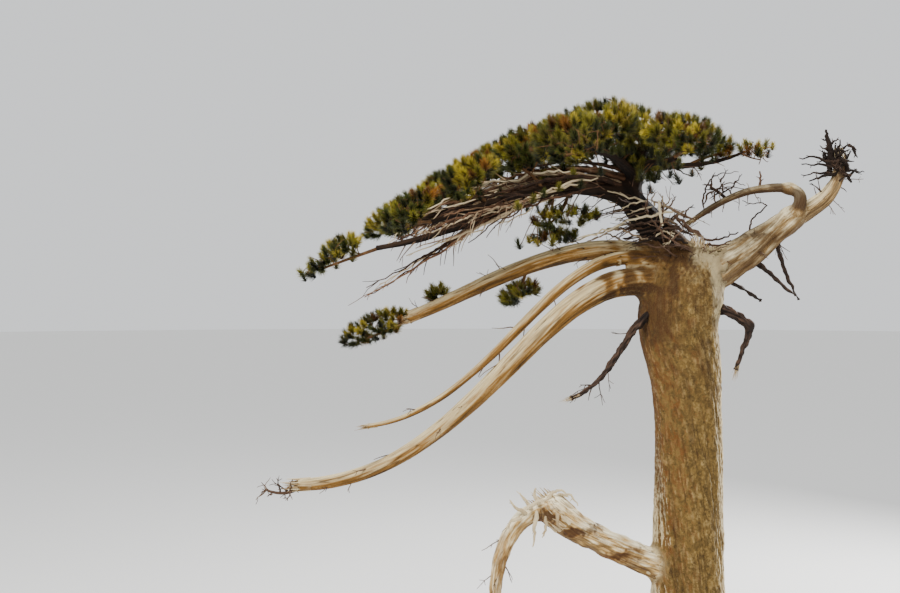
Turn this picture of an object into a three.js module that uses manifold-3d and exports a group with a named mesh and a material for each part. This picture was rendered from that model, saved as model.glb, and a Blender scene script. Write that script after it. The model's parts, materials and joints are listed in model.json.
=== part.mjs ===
// An old mountain pine that the wind has combed to one side, from its flat cut at the ground to its crown.
// Units are millimetres and +Z is up. The origin is the middle of the trunk's foot, on the ground.
// -X is downwind, where the crown streams to, and -Y is the side that is seen in front.

import * as THREE from 'three';
import Module from 'manifold-3d';

const wasm = await Module();
wasm.setup();

// Driving dimensions of the trunk
const TRUNK_TOP = 5390; // the broken top, where the trunk has forked
const FORK_HEIGHT = 4850; // where the great boughs leave
const FOOT_RADIUS = 640; // at the ground, between the root lobes and the hollows
const WAIST_RADIUS = 392; // at the slimmest, half way up
const SHOULDER_RADIUS = 480; // where the boughs' wood runs together
const TOP_RADIUS = 215; // the splintered stub at the very top
const FLARE_HEIGHT = 760; // how fast the foot narrows to the waist
const SHOULDER_START = 3300;
const ROOT_LOBES = 6;
const LOBE_DEPTH = 0.17; // share of the radius
const LOBE_HEIGHT = 330;
const LOBE_VARIETY = 0.5; // how much the lobes differ from one another
const TRUNK_SPLINTERS = 120;
// The trunk's middle line wanders off the plumb line by these amounts, at even steps of height.
const TRUNK_SWAY = [0, -20, -28, -18, -14, -55, -140, 110];

// Driving dimensions of the crown: a sheet of foliage that falls away downwind of its crest
const CREST_X = -950;
const CREST_HEIGHT = 7210;
const CROWN_REACH = 3600; // from the crest to the furthest tip
const CROWN_FALL = 1880; // how far the sheet falls over that reach
const FALL_POWER = 1.4; // above 1, so the sheet is level at the crest
const UPWIND_SLOPE = 0.27;
const CROWN_HALF_WIDTH = 1500;
const SIDE_FALL = 190; // how far the sheet falls toward its front and back
const BACK_SLOPE = 0.08; // the crown's back stands a little higher than its front
const CREST_HALF_HEIGHT = 320; // of a mass under the crest
const EDGE_HALF_HEIGHT = 165; // of a mass at the crown's downwind or upwind end
const UPWIND_REACH = 1750;
const HALF_LENGTH = 440; // of a mass, along its bough

// Foliage
const SPRAY_LENGTH = 255; // at most
const SPRAY_SHARE = 1.15; // at most, as a share of the mass's half height
const SPRAY_REACH = 0.8; // at most, as a share of its twig's whole length
const SPRAY_SLIMNESS = 0.43; // a spray's half width, as a share of its length
const SPRAY_TEETH = 4;
const SPRAY_SPACING = 0.95; // between the tips of two sprays, as a share of their length
const RIM_BACK = 0.3; // from a spray's tip back to its teeth, as a share of its length
const VALLEY_WIDTH = 0.34; // between two teeth, as a share of a spray's half width
const VALLEY_DEPTH = 0.28; // how far the valleys lie behind the teeth, as a share of a spray's length
const SKIRT = 0.45; // how far under its middle a mass carries sprays, as a share of its half height
const BARE_SKIRT = 0.9; // the same for a mass of bare twigs
const TIP_DEPTH = 0.97; // where the tips lie in a mass's space, 1 being its surface
const LIFT = 0.16; // how far a mass rises above the sheet's top, as a share of its half height
const MOST_LONG = 1.25; // a crown mass's half length, as a share of its half width
const MOST_HIGH = 0.95; // and its half height
const STEM_BACK = 0.6; // from a mass's middle back to its stem's root, as a share of its half length
const STEM_FIRST = 0.15; // the nearest to its root that a bough carries a stem
const TWIG_RADIUS = 10;
const ROOT_SHARE = 0.45; // a twig's radius inside its parent's wood, as a share of the parent's
const TWIG_FORKS = [0.2, 0.4, 0.6, 0.8]; // where a twig may fork, as shares of its length
const STEM_FORKS = [0.35, 0.5, 0.65, 0.8, 0.95];
const FORKS_TRIED = 5;
const STEM_RADIUS = 24; // at most
const STEM_THICKEST = 0.8; // and at most this share of its bough's
const STEM_TAPER = 0.6;
const ELBOW_SHARE = 0.6; // where a stem bends, on the way to the underside of its mass
const UNDERSIDE = -0.8; // of a mass, as a share of its half height
const STEM_END = [0.45, -0.5]; // shares of the half length and the half height
const BARE_STEM_END = [0.45, 0.2];
const GOLDEN_ANGLE = Math.PI * (3 - Math.sqrt(5));
const BARE_SPACING = 170; // between the tips of two bare twigs
const CANDIDATES = 110; // places tried for each mass's sprays
const PATH_WEIGHT = 0.35; // how much a twig would rather branch low on the stem than near its tip
const CROWDING = 70; // how much further a twig would rather go than share a fork
const SPACE_MARGIN = 0.03; // between the spaces of two masses, as a share of their half sizes
const LIMB_MARGIN = 10; // between foliage and any limb that it passes
const LIMB_SAMPLES = 40; // places along a limb where that is tried
const FIRST_SEED = 100;

const GAP = 0.3; // between touching pieces
const COLLAR = 0.22; // how much a limb swells where it leaves its parent, as a share of its radius
const COLLAR_LENGTH = 3; // how soon that dies away, in radii
const SWELL_START = 0.6; // where a limb with a swollen end starts to swell
const DEFAULT_GRIPS = [0.38, 0.38]; // how far each end's direction is felt, as a share of the limb's length

const BARK_ROUGHNESS = 0.85;
const FOLIAGE_ROUGHNESS = 0.7;

const ALONG_X = new THREE.Vector3(1, 0, 0);
const ALONG_Y = new THREE.Vector3(0, 1, 0);
const UP = new THREE.Vector3(0, 0, 1);
const { clamp, degToRad, lerp, smoothstep } = THREE.MathUtils;

// Limbs. Each leaves another limb at a share of its length, or the trunk at a height.
// Out is how far off the parent's middle line it starts, toward its bearing.
// A bearing of 0 is downwind, 90 is to the back, -90 to the front and 180 upwind.
// Leave and arrive are the climb above level, in degrees, at the limb's root and tip.
// Thick and thin are its radius there, and a taper above 1 thins it sooner.
const LIMBS = [
  {
    name: 'bough_low', from: 'trunk', height: 4760, out: -45, bearing: -12, reach: 4609, rise: -2047,
    leave: 34, arrive: 1, grips: [0.38, 0.44], thick: 172, thin: 70, taper: 1.4, sides: 9, rings: 13,
  },
  {
    name: 'bough_middle', from: 'trunk', height: 5000, out: 25, bearing: -3, reach: 3797, rise: -1712,
    leave: 38, arrive: -7, grips: [0.44, 0.41], thick: 92, thin: 26, taper: 1.1, sides: 6, rings: 12,
    splinter: 40,
  },
  {
    name: 'bough_high', from: 'trunk', height: 5130, out: 100, bearing: 10, reach: 3368, rise: -565,
    leave: 34, arrive: -21, grips: [0.37, 0.33], thick: 128, thin: 76, taper: 1, sides: 8, rings: 10,
  },
  {
    name: 'right_limb', from: 'trunk', height: 4980, out: -30, bearing: 174, reach: 1320, rise: 780,
    leave: 23, arrive: 39, thick: 248, thin: 146, taper: 1.1, sides: 10, rings: 7,
  },
  {
    name: 'right_snag', from: 'right_limb', at: 1, bearing: 176, reach: 620, rise: 700, leave: 22,
    arrive: 94, thick: 122, thin: 66, taper: 0.8, sides: 8, rings: 7, splinter: 90,
  },
  {
    name: 'arch_rise', from: 'right_limb', at: 0.93, bearing: -150, reach: 70, rise: 430, leave: 37,
    arrive: 165, grips: [0.57, 0.53], thick: 86, thin: 60, taper: 1, sides: 7, rings: 8,
  },
  {
    name: 'arch_return', from: 'arch_rise', at: 1, bearing: -8, reach: 1270, rise: -430, leave: 4,
    arrive: -35, thick: 60, thin: 26, taper: 0.9, sides: 6, rings: 8,
  },
  {
    name: 'upper_trunk', from: 'trunk', height: 5150, out: 145, bearing: 5, reach: 600, rise: 903,
    leave: 73, arrive: 62, thick: 208, thin: 132, taper: 1, sides: 10, rings: 6,
  },
  {
    name: 'leader', from: 'upper_trunk', at: 1, bearing: 176, reach: 150, rise: 560, leave: 72,
    arrive: 88, thick: 112, thin: 56, taper: 1, sides: 8, rings: 5,
  },
  {
    name: 'dead_limb', from: 'trunk', height: 1420, bearing: -16, reach: 1738, rise: 954, leave: 31,
    arrive: 41, thick: 152, thin: 150, taper: 1, sides: 9, rings: 8, swell: 0.2,
  },
  {
    name: 'dead_limb_hanging', from: 'dead_limb', at: 1, bearing: -8, reach: 646, rise: -1396, leave: 2,
    arrive: -100, thick: 112, thin: 46, taper: 0.8, sides: 8, rings: 8, splinter: 90,
  },
  {
    name: 'dead_drop', from: 'trunk', height: 4640, bearing: -25, reach: 1501, rise: -991, leave: 8,
    arrive: -15, grips: [0.46, 0.43], thick: 58, thin: 20, taper: 1, sides: 6, rings: 7, splinter: 30,
  },
  {
    name: 'hook_arm', from: 'trunk', height: 4780, bearing: -160, reach: 789, rise: -308, leave: -14,
    arrive: -43, thick: 62, thin: 48, taper: 1, sides: 6, rings: 4,
  },
  {
    name: 'hook_hanging', from: 'hook_arm', at: 1, bearing: 20, reach: 150, rise: -520, leave: -88,
    arrive: -78, thick: 42, thin: 20, taper: 1, sides: 6, rings: 4, splinter: 40,
  },
  {
    name: 'dead_spike_near', from: 'right_limb', at: 0.5, bearing: -170, reach: 640, rise: -480,
    leave: -20, arrive: -36, thick: 40, thin: 10, taper: 1, sides: 5, rings: 5,
  },
  {
    name: 'dead_spike_far', from: 'right_limb', at: 0.86, bearing: 165, reach: 300, rise: -840,
    leave: -88, arrive: -58, thick: 36, thin: 10, taper: 1, sides: 5, rings: 5,
  },
  {
    name: 'dead_stub', from: 'right_limb', at: 0.2, bearing: 160, reach: 760, rise: -330, leave: -14,
    arrive: -28, thick: 34, thin: 13, taper: 1, sides: 5, rings: 4,
  },
  {
    name: 'crown_bough_low', from: 'upper_trunk', at: 0.97, bearing: -1, reach: 3060, rise: -614,
    leave: 22, arrive: -9, grips: [0.35, 0.47], thick: 98, thin: 30, taper: 1.1, sides: 6, rings: 9,
  },
  {
    name: 'crown_bough_middle', from: 'upper_trunk', at: 0.99, bearing: 7, reach: 2680, rise: -330,
    leave: 32, arrive: -22, thick: 78, thin: 27, taper: 1, sides: 6, rings: 6,
  },
  {
    name: 'crown_bough_front', from: 'upper_trunk', at: 0.9, bearing: -19, reach: 2560, rise: -290,
    leave: 20, arrive: -18, thick: 78, thin: 27, taper: 1, sides: 6, rings: 6,
  },
  {
    name: 'crown_bough_back', from: 'upper_trunk', at: 0.95, bearing: 25, reach: 2660, rise: -180,
    leave: 26, arrive: -18, thick: 78, thin: 27, taper: 1, sides: 6, rings: 6,
  },
  {
    name: 'crown_bough_front_wide', from: 'leader', at: 0.36, bearing: -55, reach: 1500, rise: 270,
    leave: 26, arrive: 2, thick: 66, thin: 27, taper: 1, sides: 6, rings: 6,
  },
  {
    name: 'crown_bough_back_wide', from: 'leader', at: 0.16, bearing: 57, reach: 1520, rise: 390,
    leave: 30, arrive: 6, thick: 66, thin: 27, taper: 1, sides: 6, rings: 6,
  },
  {
    name: 'crown_bough_high', from: 'leader', at: 0.72, bearing: 2, reach: 820, rise: 90, leave: 28,
    arrive: -10, thick: 50, thin: 30, taper: 1, sides: 6, rings: 5,
  },
  {
    name: 'crown_bough_right', from: 'leader', at: 0.62, bearing: 178, reach: 1290, rise: 190, leave: 2,
    arrive: 24, thick: 48, thin: 15, taper: 1, sides: 6, rings: 6,
  },
  {
    name: 'crown_bough_right_front', from: 'leader', at: 0.5, bearing: -108, reach: 900, rise: 60,
    leave: 22, arrive: 4, thick: 52, thin: 26, taper: 1, sides: 6, rings: 6,
  },
  {
    name: 'crown_bough_right_back', from: 'leader', at: 0.6, bearing: 108, reach: 960, rise: 200,
    leave: 26, arrive: 8, thick: 52, thin: 26, taper: 1, sides: 6, rings: 6,
  },
];

// Rows of foliage masses. Each row stands over its bough, its masses evenly spaced from first to last,
// measured level from the bough's root. Wide is the half width of the first and of the last mass.
const CROWN_ROWS = [
  { name: 'needles_tip', bough: 'crown_bough_low', count: 1, first: 3590, wide: [380] },
  {
    name: 'needles_middle', bough: 'crown_bough_middle', count: 3, first: 1600, last: 2940,
    wide: [480, 420],
  },
  {
    name: 'needles_front', bough: 'crown_bough_front', count: 3, first: 1440, last: 2820,
    wide: [420, 430],
  },
  {
    name: 'needles_back', bough: 'crown_bough_back', count: 3, first: 1490, last: 2920,
    wide: [420, 430],
  },
  {
    name: 'needles_front_wide', bough: 'crown_bough_front_wide', count: 2, first: 900, last: 1620,
    wide: [490, 500],
  },
  {
    name: 'needles_back_wide', bough: 'crown_bough_back_wide', count: 2, first: 900, last: 1640,
    wide: [490, 500],
  },
  { name: 'needles_shoulder', bough: 'crown_bough_high', count: 1, first: 960, wide: [480] },
  { name: 'needles_top', bough: 'leader', at: 1, count: 1, first: 40, wide: [500] },
  {
    name: 'needles_right', bough: 'crown_bough_right', count: 2, first: 270, last: 830,
    wide: [480, 310],
  },
  { name: 'needles_right_tip', bough: 'crown_bough_right', count: 1, first: 1400, wide: [200] },
  { name: 'needles_right_front', bough: 'crown_bough_right_front', count: 1, first: 1080, wide: [520] },
  { name: 'needles_right_back', bough: 'crown_bough_right_back', count: 1, first: 1120, wide: [520] },
];

// Masses apart from the crown. Each is placed from a share of its bough: ahead along it, aside and above.
const LOWER_MASSES = [
  {
    name: 'needles_bough_tip', bough: 'bough_high', at: 1, ahead: 440, aside: 0, above: -110, long: 520,
    wide: 290, high: 215,
  },
  {
    name: 'needles_bough_top', bough: 'bough_high', at: 0.9, ahead: 0, aside: 90, above: 210, long: 190,
    wide: 160, high: 120,
  },
  {
    name: 'needles_bough_under', bough: 'bough_high', at: 0.55, ahead: 110, aside: 170, above: -300,
    long: 310, wide: 240, high: 175,
  },
  {
    name: 'needles_under_near', bough: 'crown_bough_low', at: 0.24, ahead: 60, aside: -110, above: -330,
    long: 460, wide: 200, high: 160,
  },
  {
    name: 'needles_under_far', bough: 'crown_bough_middle', at: 0.34, ahead: 0, aside: 190, above: -690,
    long: 340, wide: 220, high: 130,
  },
];

// Dead twigs that carry no needles
const BARE_MASSES = [
  {
    name: 'twigs_snag', bough: 'right_snag', at: 0.97, ahead: -70, aside: 0, above: 60, long: 360,
    wide: 300, high: 390, twigs: 24,
  },
  {
    name: 'twigs_tangle', bough: 'upper_trunk', at: 0.45, ahead: -130, aside: -300, above: 60,
    long: 560, wide: 210, high: 260, twigs: 24,
  },
  {
    name: 'twigs_arch', bough: 'arch_return', at: 0.6, ahead: 60, aside: 20, above: 190, long: 300,
    wide: 150, high: 150, twigs: 12,
  },
  {
    name: 'twigs_bough_end', bough: 'bough_low', at: 1, ahead: 200, aside: 0, above: -90, long: 300,
    wide: 190, high: 180, twigs: 12,
  },
];

const COLOURS = {
  trunk: 0x9c7f52,
  bough: 0xb58f5a,
  dead: 0x5a4a38,
  snag: 0xb8a688,
  needles: 0x5b6124,
  twigs: 0x4a3b2c,
};

// A seeded source of numbers from 0 to 1
function randomFrom(seed) {
  let state = seed >>> 0;
  return () => {
    state = (Math.imul(state, 1664525) + 1013904223) >>> 0;
    return state / 4294967296;
  };
}

// A unit direction from a bearing and a climb, in degrees
function heading(bearing, climb) {
  const turn = degToRad(bearing);
  const lift = degToRad(climb);
  const level = Math.cos(lift);
  return new THREE.Vector3(-Math.cos(turn) * level, Math.sin(turn) * level, Math.sin(lift));
}

// The top of the crown's sheet over a point of the plan
function crownTop(x, y) {
  const downwind = CREST_X - x;
  const fall =
    downwind > 0 ? CROWN_FALL * (downwind / CROWN_REACH) ** FALL_POWER : -downwind * UPWIND_SLOPE;
  return CREST_HEIGHT - fall - SIDE_FALL * (y / CROWN_HALF_WIDTH) ** 2 + y * BACK_SLOPE;
}

// Half the height of a mass, from under the crest to either end of the crown
function crownHalfHeight(x) {
  const share = x < CREST_X ? (CREST_X - x) / CROWN_REACH : (x - CREST_X) / UPWIND_REACH;
  return lerp(CREST_HALF_HEIGHT, EDGE_HALF_HEIGHT, Math.min(1, share));
}

function trunkRadius(height) {
  const flare = (FOOT_RADIUS - WAIST_RADIUS) * Math.exp(-height / FLARE_HEIGHT);
  const shoulder = (SHOULDER_RADIUS - WAIST_RADIUS) * smoothstep(height, SHOULDER_START, FORK_HEIGHT);
  const stub = (SHOULDER_RADIUS - TOP_RADIUS) * smoothstep(height, FORK_HEIGHT, TRUNK_TOP);
  return WAIST_RADIUS + flare + shoulder - stub;
}

// The trunk's foot spreads into lobes over its roots
function rootLobes(height, angle) {
  const lobes = Math.cos(ROOT_LOBES * angle) + LOBE_VARIETY * Math.cos((ROOT_LOBES - 2) * angle + 1);
  return 1 + LOBE_DEPTH * Math.exp(-height / LOBE_HEIGHT) * lobes;
}

function makeTrunk() {
  const step = TRUNK_TOP / (TRUNK_SWAY.length - 1);
  const curve = new THREE.CatmullRomCurve3(TRUNK_SWAY.map((sway, i) => new THREE.Vector3(sway, 0, step * i)));
  return {
    name: 'trunk',
    curve,
    radiusAt: (share) => trunkRadius(share * TRUNK_TOP),
    shapeAt: (share, angle) => rootLobes(share * TRUNK_TOP, angle),
    level: true, // its rings lie level, so that its foot is flat
    sides: 24,
    rings: 15,
    splinter: TRUNK_SPLINTERS,
  };
}

// A limb as a curve and a radius along it, worked out from its named sizes
function makeLimb(sizes, limbs) {
  const { bearing, thick, thin, taper, at, out = 0, swell = 0, grips = DEFAULT_GRIPS } = sizes;
  const parent = limbs.get(sizes.from);
  const level = heading(bearing, 0);
  const root = parent.curve.getPointAt(at ?? sizes.height / TRUNK_TOP).addScaledVector(level, out);
  const tip = root.clone().addScaledVector(level, sizes.reach).addScaledVector(UP, sizes.rise);
  const chord = root.distanceTo(tip);
  const afterRoot = root.clone().addScaledVector(heading(bearing, sizes.leave), grips[0] * chord);
  const beforeTip = tip.clone().addScaledVector(heading(bearing, sizes.arrive), -grips[1] * chord);
  const curve = new THREE.CubicBezierCurve3(root, afterRoot, beforeTip, tip);
  const collar = at === 1 ? 0 : COLLAR;
  const collarLength = COLLAR_LENGTH * thick;
  const length = curve.getLength();
  const radiusAt = (share) => {
    const rootSwell = collar * Math.exp((-share * length) / collarLength);
    const tipSwell = swell * smoothstep(share, SWELL_START, 1);
    return lerp(thin, thick, (1 - share) ** taper) * (1 + rootSwell + tipSwell);
  };
  return { ...sizes, curve, radiusAt, shapeAt: () => 1 };
}

// A closed surface over rings of points, which may differ in number. A ring of one point is a tip.
function closedSurface(rings) {
  const positions = rings.flat().flatMap((point) => point.toArray());
  const faces = rings[0].length === 3 ? [0, 2, 1] : [];
  let start = 0;
  rings.slice(1).forEach((ring, k) => {
    const [here, there] = [rings[k].length, ring.length];
    const [hereSteps, thereSteps] = [here, there].map((count) => (count > 1 ? count : 0));
    const a = (i) => start + (i % here);
    const b = (j) => start + here + (j % there);
    let [i, j] = [0, 0];
    while (i < hereSteps || j < thereSteps) {
      if (j >= thereSteps || (i < hereSteps && (i + 1) / here <= (j + 1) / there)) {
        faces.push(a(i), a(i + 1), b(j));
        i += 1;
      } else {
        faces.push(a(i), b(j + 1), b(j));
        j += 1;
      }
    }
    start += here;
  });
  return new THREE.BufferGeometry()
    .setAttribute('position', new THREE.Float32BufferAttribute(positions, 3))
    .setIndex(faces);
}

// Points round a middle, in the plane of two unit vectors. The radius is a number or a function of the angle.
function ringOf(middle, normal, binormal, count, radius, spin = 0) {
  return Array.from({ length: count }, (_, j) => {
    const angle = spin + (2 * Math.PI * j) / count;
    const size = typeof radius === 'function' ? radius(angle, j) : radius;
    const point = middle.clone().addScaledVector(normal, size * Math.cos(angle));
    return point.addScaledVector(binormal, size * Math.sin(angle));
  });
}

// A limb as a closed tube. It may be grown all round, to cut its neighbours clear, and may end in splinters.
function tubeGeometry(limb, grow = 0) {
  const { curve, sides, rings, radiusAt, shapeAt, splinter = 0 } = limb;
  const frames = curve.computeFrenetFrames(rings, false);
  const random = randomFrom(sides * rings);
  const surface = [];
  for (let i = 0; i <= rings; i += 1) {
    const share = i / rings;
    const [normal, binormal] = limb.level ? [ALONG_X, ALONG_Y] : [frames.normals[i], frames.binormals[i]];
    const tangent = limb.level ? UP : frames.tangents[i];
    const middle = curve.getPointAt(share);
    if (i === 0 && !limb.level) middle.addScaledVector(tangent, -grow);
    if (i === rings) middle.addScaledVector(tangent, grow);
    const radius = (angle) => radiusAt(share) * shapeAt(share, angle) + grow;
    const ring = ringOf(middle, normal, binormal, sides, radius);
    if (i === rings) ring.forEach((point) => point.addScaledVector(tangent, splinter * random()));
    if (i === 0) surface.push([middle]);
    surface.push(ring);
    if (i === rings) surface.push([middle]);
  }
  return closedSurface(surface);
}

// Two unit vectors square to a direction and to each other
function squareTo(direction) {
  const helper = Math.abs(direction.y) < Math.SQRT1_2 ? ALONG_Y : ALONG_X;
  const side = helper.clone().cross(direction).normalize();
  return [side, new THREE.Vector3().crossVectors(direction, side)];
}

// A three-sided twig that ends in a point
function twigGeometry(root, tip, rootRadius) {
  const [side, across] = squareTo(tip.clone().sub(root).normalize());
  return closedSurface([ringOf(root, side, across, 3, rootRadius), [tip]]);
}

// A spray is shorter where its mass is shallow or its twig is short
function sprayLength(mass, reach = Infinity) {
  return Math.min(SPRAY_LENGTH, SPRAY_SHARE * mass.high, SPRAY_REACH * reach);
}

// A three-sided twig that ends in a tuft of needles: a spindle whose rim stands out in teeth
function sprayGeometry(root, tip, rootRadius, length, spin) {
  const direction = tip.clone().sub(root).normalize();
  const back = (share) => tip.clone().addScaledVector(direction, -share * length);
  const [side, across] = squareTo(direction);
  const rimRadius = (_, j) => SPRAY_SLIMNESS * length * (j % 2 ? VALLEY_WIDTH : 1);
  const rim = ringOf(back(RIM_BACK), side, across, 2 * SPRAY_TEETH, rimRadius, spin);
  rim.forEach((point, j) => point.addScaledVector(direction, j % 2 ? -VALLEY_DEPTH * length : 0));
  return closedSurface([
    ringOf(root, side, across, 3, rootRadius, spin),
    ringOf(back(1), side, across, 3, TWIG_RADIUS, spin),
    rim,
    [tip],
  ]);
}

// A closed indexed geometry as a solid
function solidOf(geometry) {
  return new wasm.Manifold(
    new wasm.Mesh({
      numProp: 3,
      vertProperties: Float32Array.from(geometry.attributes.position.array),
      triVerts: Uint32Array.from(geometry.index.array),
    }),
  );
}

// The largest body of a solid, without the scraps that cutting leaves
function mainBody(solid) {
  const larger = (a, b) => (b.volume() > a.volume() ? b : a);
  return solid.decompose().reduce(larger);
}

function boxesMeet(a, b) {
  return [0, 1, 2].every((i) => a.min[i] <= b.max[i] && b.min[i] <= a.max[i]);
}

// A solid cut clear of every limb that it would reach into
function cutClear(solid, limbs) {
  const box = solid.boundingBox();
  let cut = solid;
  for (const limb of limbs) {
    if (boxesMeet(box, limb.clearance.boundingBox())) cut = cut.subtract(limb.clearance);
  }
  return mainBody(cut);
}

// A mass's own space: an ellipsoid that lies along a direction, with its width level
function makeSpace(mass, centre, along) {
  const x = along.clone().normalize();
  const y = new THREE.Vector3().crossVectors(UP, x).normalize();
  const z = new THREE.Vector3().crossVectors(x, y);
  // A point from its shares of the half length, half width and half height
  const place = (u, v, w) => {
    const point = centre.clone().addScaledVector(x, u * mass.long);
    return point.addScaledVector(y, v * mass.wide).addScaledVector(z, w * mass.high);
  };
  // 0 at the space's centre and 1 on its surface
  const depthOf = (point) => {
    const offset = point.clone().sub(centre);
    return Math.hypot(offset.dot(x) / mass.long, offset.dot(y) / mass.wide, offset.dot(z) / mass.high);
  };
  return { centre, place, depthOf };
}

// The masses of a row hang under the top of the crown's sheet, above their bough
function makeRow(row, limbs) {
  const bough = limbs.get(row.bough);
  const level = heading(bough.bearing, 0);
  return Array.from({ length: row.count }, (_, k) => {
    const share = row.count > 1 ? k / (row.count - 1) : 0;
    const along = lerp(row.first, row.last ?? row.first, share);
    const wide = lerp(row.wide[0], row.wide[row.wide.length - 1], share);
    const long = Math.min(HALF_LENGTH, MOST_LONG * wide);
    const centre = bough.curve.getPointAt(0).addScaledVector(level, along);
    const high = Math.min(crownHalfHeight(centre.x), MOST_HIGH * wide);
    const ahead = centre.clone().addScaledVector(level, long);
    const top = crownTop(centre.x, centre.y);
    const slope = ahead.clone().sub(centre).setZ(crownTop(ahead.x, ahead.y) - top);
    centre.z = top - (1 - LIFT) * high;
    return {
      name: row.count > 1 ? `${row.name}_${k + 1}` : row.name,
      bough: row.bough,
      at: row.at ?? clamp((along - STEM_BACK * long) / bough.reach, STEM_FIRST, 1),
      long,
      wide,
      high,
      space: makeSpace({ long, wide, high }, centre, slope),
    };
  });
}

// A mass apart from the crown is placed from a point of its bough
function makeLowerMass(mass, limbs) {
  const bough = limbs.get(mass.bough);
  const along = bough.curve.getTangentAt(mass.at);
  const centre = bough.curve.getPointAt(mass.at).addScaledVector(heading(bough.bearing, 0), mass.ahead);
  centre.addScaledVector(heading(bough.bearing + 90, 0), mass.aside);
  centre.addScaledVector(UP, mass.above);
  return { ...mass, space: makeSpace(mass, centre, along) };
}

// True where a point is in its mass's own space and clear of every limb
function isFree(point, mass, masses, limbs) {
  const depth = mass.space.depthOf(point);
  if (depth > 1) return false;
  const isNearer = (other) => other !== mass && other.space.depthOf(point) < depth + SPACE_MARGIN;
  if (masses.some(isNearer)) return false;
  const isClear = ({ middle, radius }) => point.distanceTo(middle) > radius + LIMB_MARGIN;
  return [...limbs.values()].every((limb) => limb.samples.every(isClear));
}

function pointsOf(geometry) {
  const { array } = geometry.attributes.position;
  return Array.from({ length: array.length / 3 }, (_, i) => new THREE.Vector3().fromArray(array, 3 * i));
}

// The stem of a mass: from inside its bough it leans toward the mass's underside, then follows that
function stemOf(mass, limbs) {
  const bough = limbs.get(mass.bough);
  const radius = Math.min(STEM_RADIUS, STEM_THICKEST * bough.radiusAt(mass.at));
  const sunk = mass.at === 1 ? 2 * radius : 0;
  const root = bough.curve.getPointAt(mass.at).addScaledVector(bough.curve.getTangentAt(mass.at), -sunk);
  const elbow = root.clone().lerp(mass.space.place(0, 0, UNDERSIDE), ELBOW_SHARE);
  const [ahead, above] = mass.twigs ? BARE_STEM_END : STEM_END;
  const curve = new THREE.QuadraticBezierCurve3(root, elbow, mass.space.place(ahead, 0, above));
  const radiusAt = (share) => radius * lerp(1, STEM_TAPER, share);
  return { curve, radiusAt, shapeAt: () => 1, sides: 4, rings: 3 };
}

// Places for the tips of a mass's twigs: even all round its space by the golden angle, but few underneath
function sprayTips(mass, masses, limbs, random) {
  const skirt = mass.twigs ? BARE_SKIRT : SKIRT;
  const spacing = mass.twigs ? BARE_SPACING : SPRAY_SPACING * sprayLength(mass);
  const tips = [];
  for (let k = 0; k < CANDIDATES; k += 1) {
    const level = 1 - ((1 + skirt) * (k + 0.5)) / CANDIDATES;
    const ring = TIP_DEPTH * Math.sqrt(1 - level * level);
    const angle = k * GOLDEN_ANGLE + random() - 0.5;
    const tip = mass.space.place(ring * Math.cos(angle), ring * Math.sin(angle), TIP_DEPTH * level);
    const isApart = tips.every((other) => other.distanceTo(tip) > spacing);
    if (isApart && isFree(tip, mass, masses, limbs)) tips.push(tip);
  }
  return tips.slice(0, mass.twigs);
}

// A twig from a fork of the wood to a tip, with a spray at its end where the mass has needles
function growShoot(mass, fork, tip, spin) {
  const rootRadius = ROOT_SHARE * fork.radius;
  const reach = fork.point.distanceTo(tip);
  const spray = sprayLength(mass, reach);
  const bareShare = mass.twigs ? 1 : 1 - spray / reach;
  const along = (share) => fork.point.clone().lerp(tip, share);
  const geometry = mass.twigs
    ? twigGeometry(fork.point, tip, rootRadius)
    : sprayGeometry(fork.point, tip, rootRadius, spray, spin);
  const endRadius = mass.twigs ? 0 : TWIG_RADIUS;
  const forks = TWIG_FORKS.filter((share) => share < bareShare).map((share) => ({
    point: along(share),
    path: fork.path + share * reach,
    radius: lerp(rootRadius, endRadius, share / bareShare),
    load: 0,
  }));
  return { fork, geometry, forks, reached: [...TWIG_FORKS.map(along), ...pointsOf(geometry).slice(3)] };
}

// One mass: a shoot toward every tip, from the nearest fork of the wood that has grown so far
function growMass(mass, masses, limbs, seed) {
  const random = randomFrom(seed);
  const stem = stemOf(mass, limbs);
  const wood = STEM_FORKS.map((share) => ({
    point: stem.curve.getPointAt(share),
    path: share * stem.curve.getLength(),
    radius: stem.radiusAt(share),
    load: 0,
  }));
  const tips = sprayTips(mass, masses, limbs, random);
  const fromRoot = (tip) => tip.distanceTo(wood[0].point);
  tips.sort((a, b) => fromRoot(a) - fromRoot(b));
  let solid = solidOf(tubeGeometry(stem));
  for (const tip of tips) {
    const spin = random() * Math.PI;
    const cost = (fork) => fork.point.distanceTo(tip) + PATH_WEIGHT * fork.path + CROWDING * fork.load;
    const best = [...wood].sort((a, b) => cost(a) - cost(b)).slice(0, FORKS_TRIED);
    const shoot = best
      .map((fork) => growShoot(mass, fork, tip, spin))
      .find(({ reached }) => reached.every((point) => isFree(point, mass, masses, limbs)));
    if (!shoot) continue;
    solid = solid.add(solidOf(shoot.geometry));
    shoot.fork.load += 1;
    wood.push(...shoot.forks);
  }
  return cutClear(solid, limbs.values());
}

// A named mesh whose geometry is measured from its own root
function meshOf(name, solid, root, colour, roughness) {
  const { numProp, vertProperties, triVerts } = solid.getMesh();
  const positions = new Float32Array((vertProperties.length / numProp) * 3);
  for (let i = 0; i < positions.length / 3; i += 1) {
    positions.set(vertProperties.subarray(i * numProp, i * numProp + 3), 3 * i);
  }
  const geometry = new THREE.BufferGeometry()
    .setAttribute('position', new THREE.BufferAttribute(positions, 3))
    .setIndex(new THREE.BufferAttribute(triVerts, 1))
    .translate(-root.x, -root.y, -root.z);
  geometry.computeVertexNormals();
  const material = new THREE.MeshStandardMaterial({ color: colour, roughness, metalness: 0 });
  const mesh = new THREE.Mesh(geometry, material);
  mesh.name = name;
  mesh.position.copy(root);
  return mesh;
}

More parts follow.
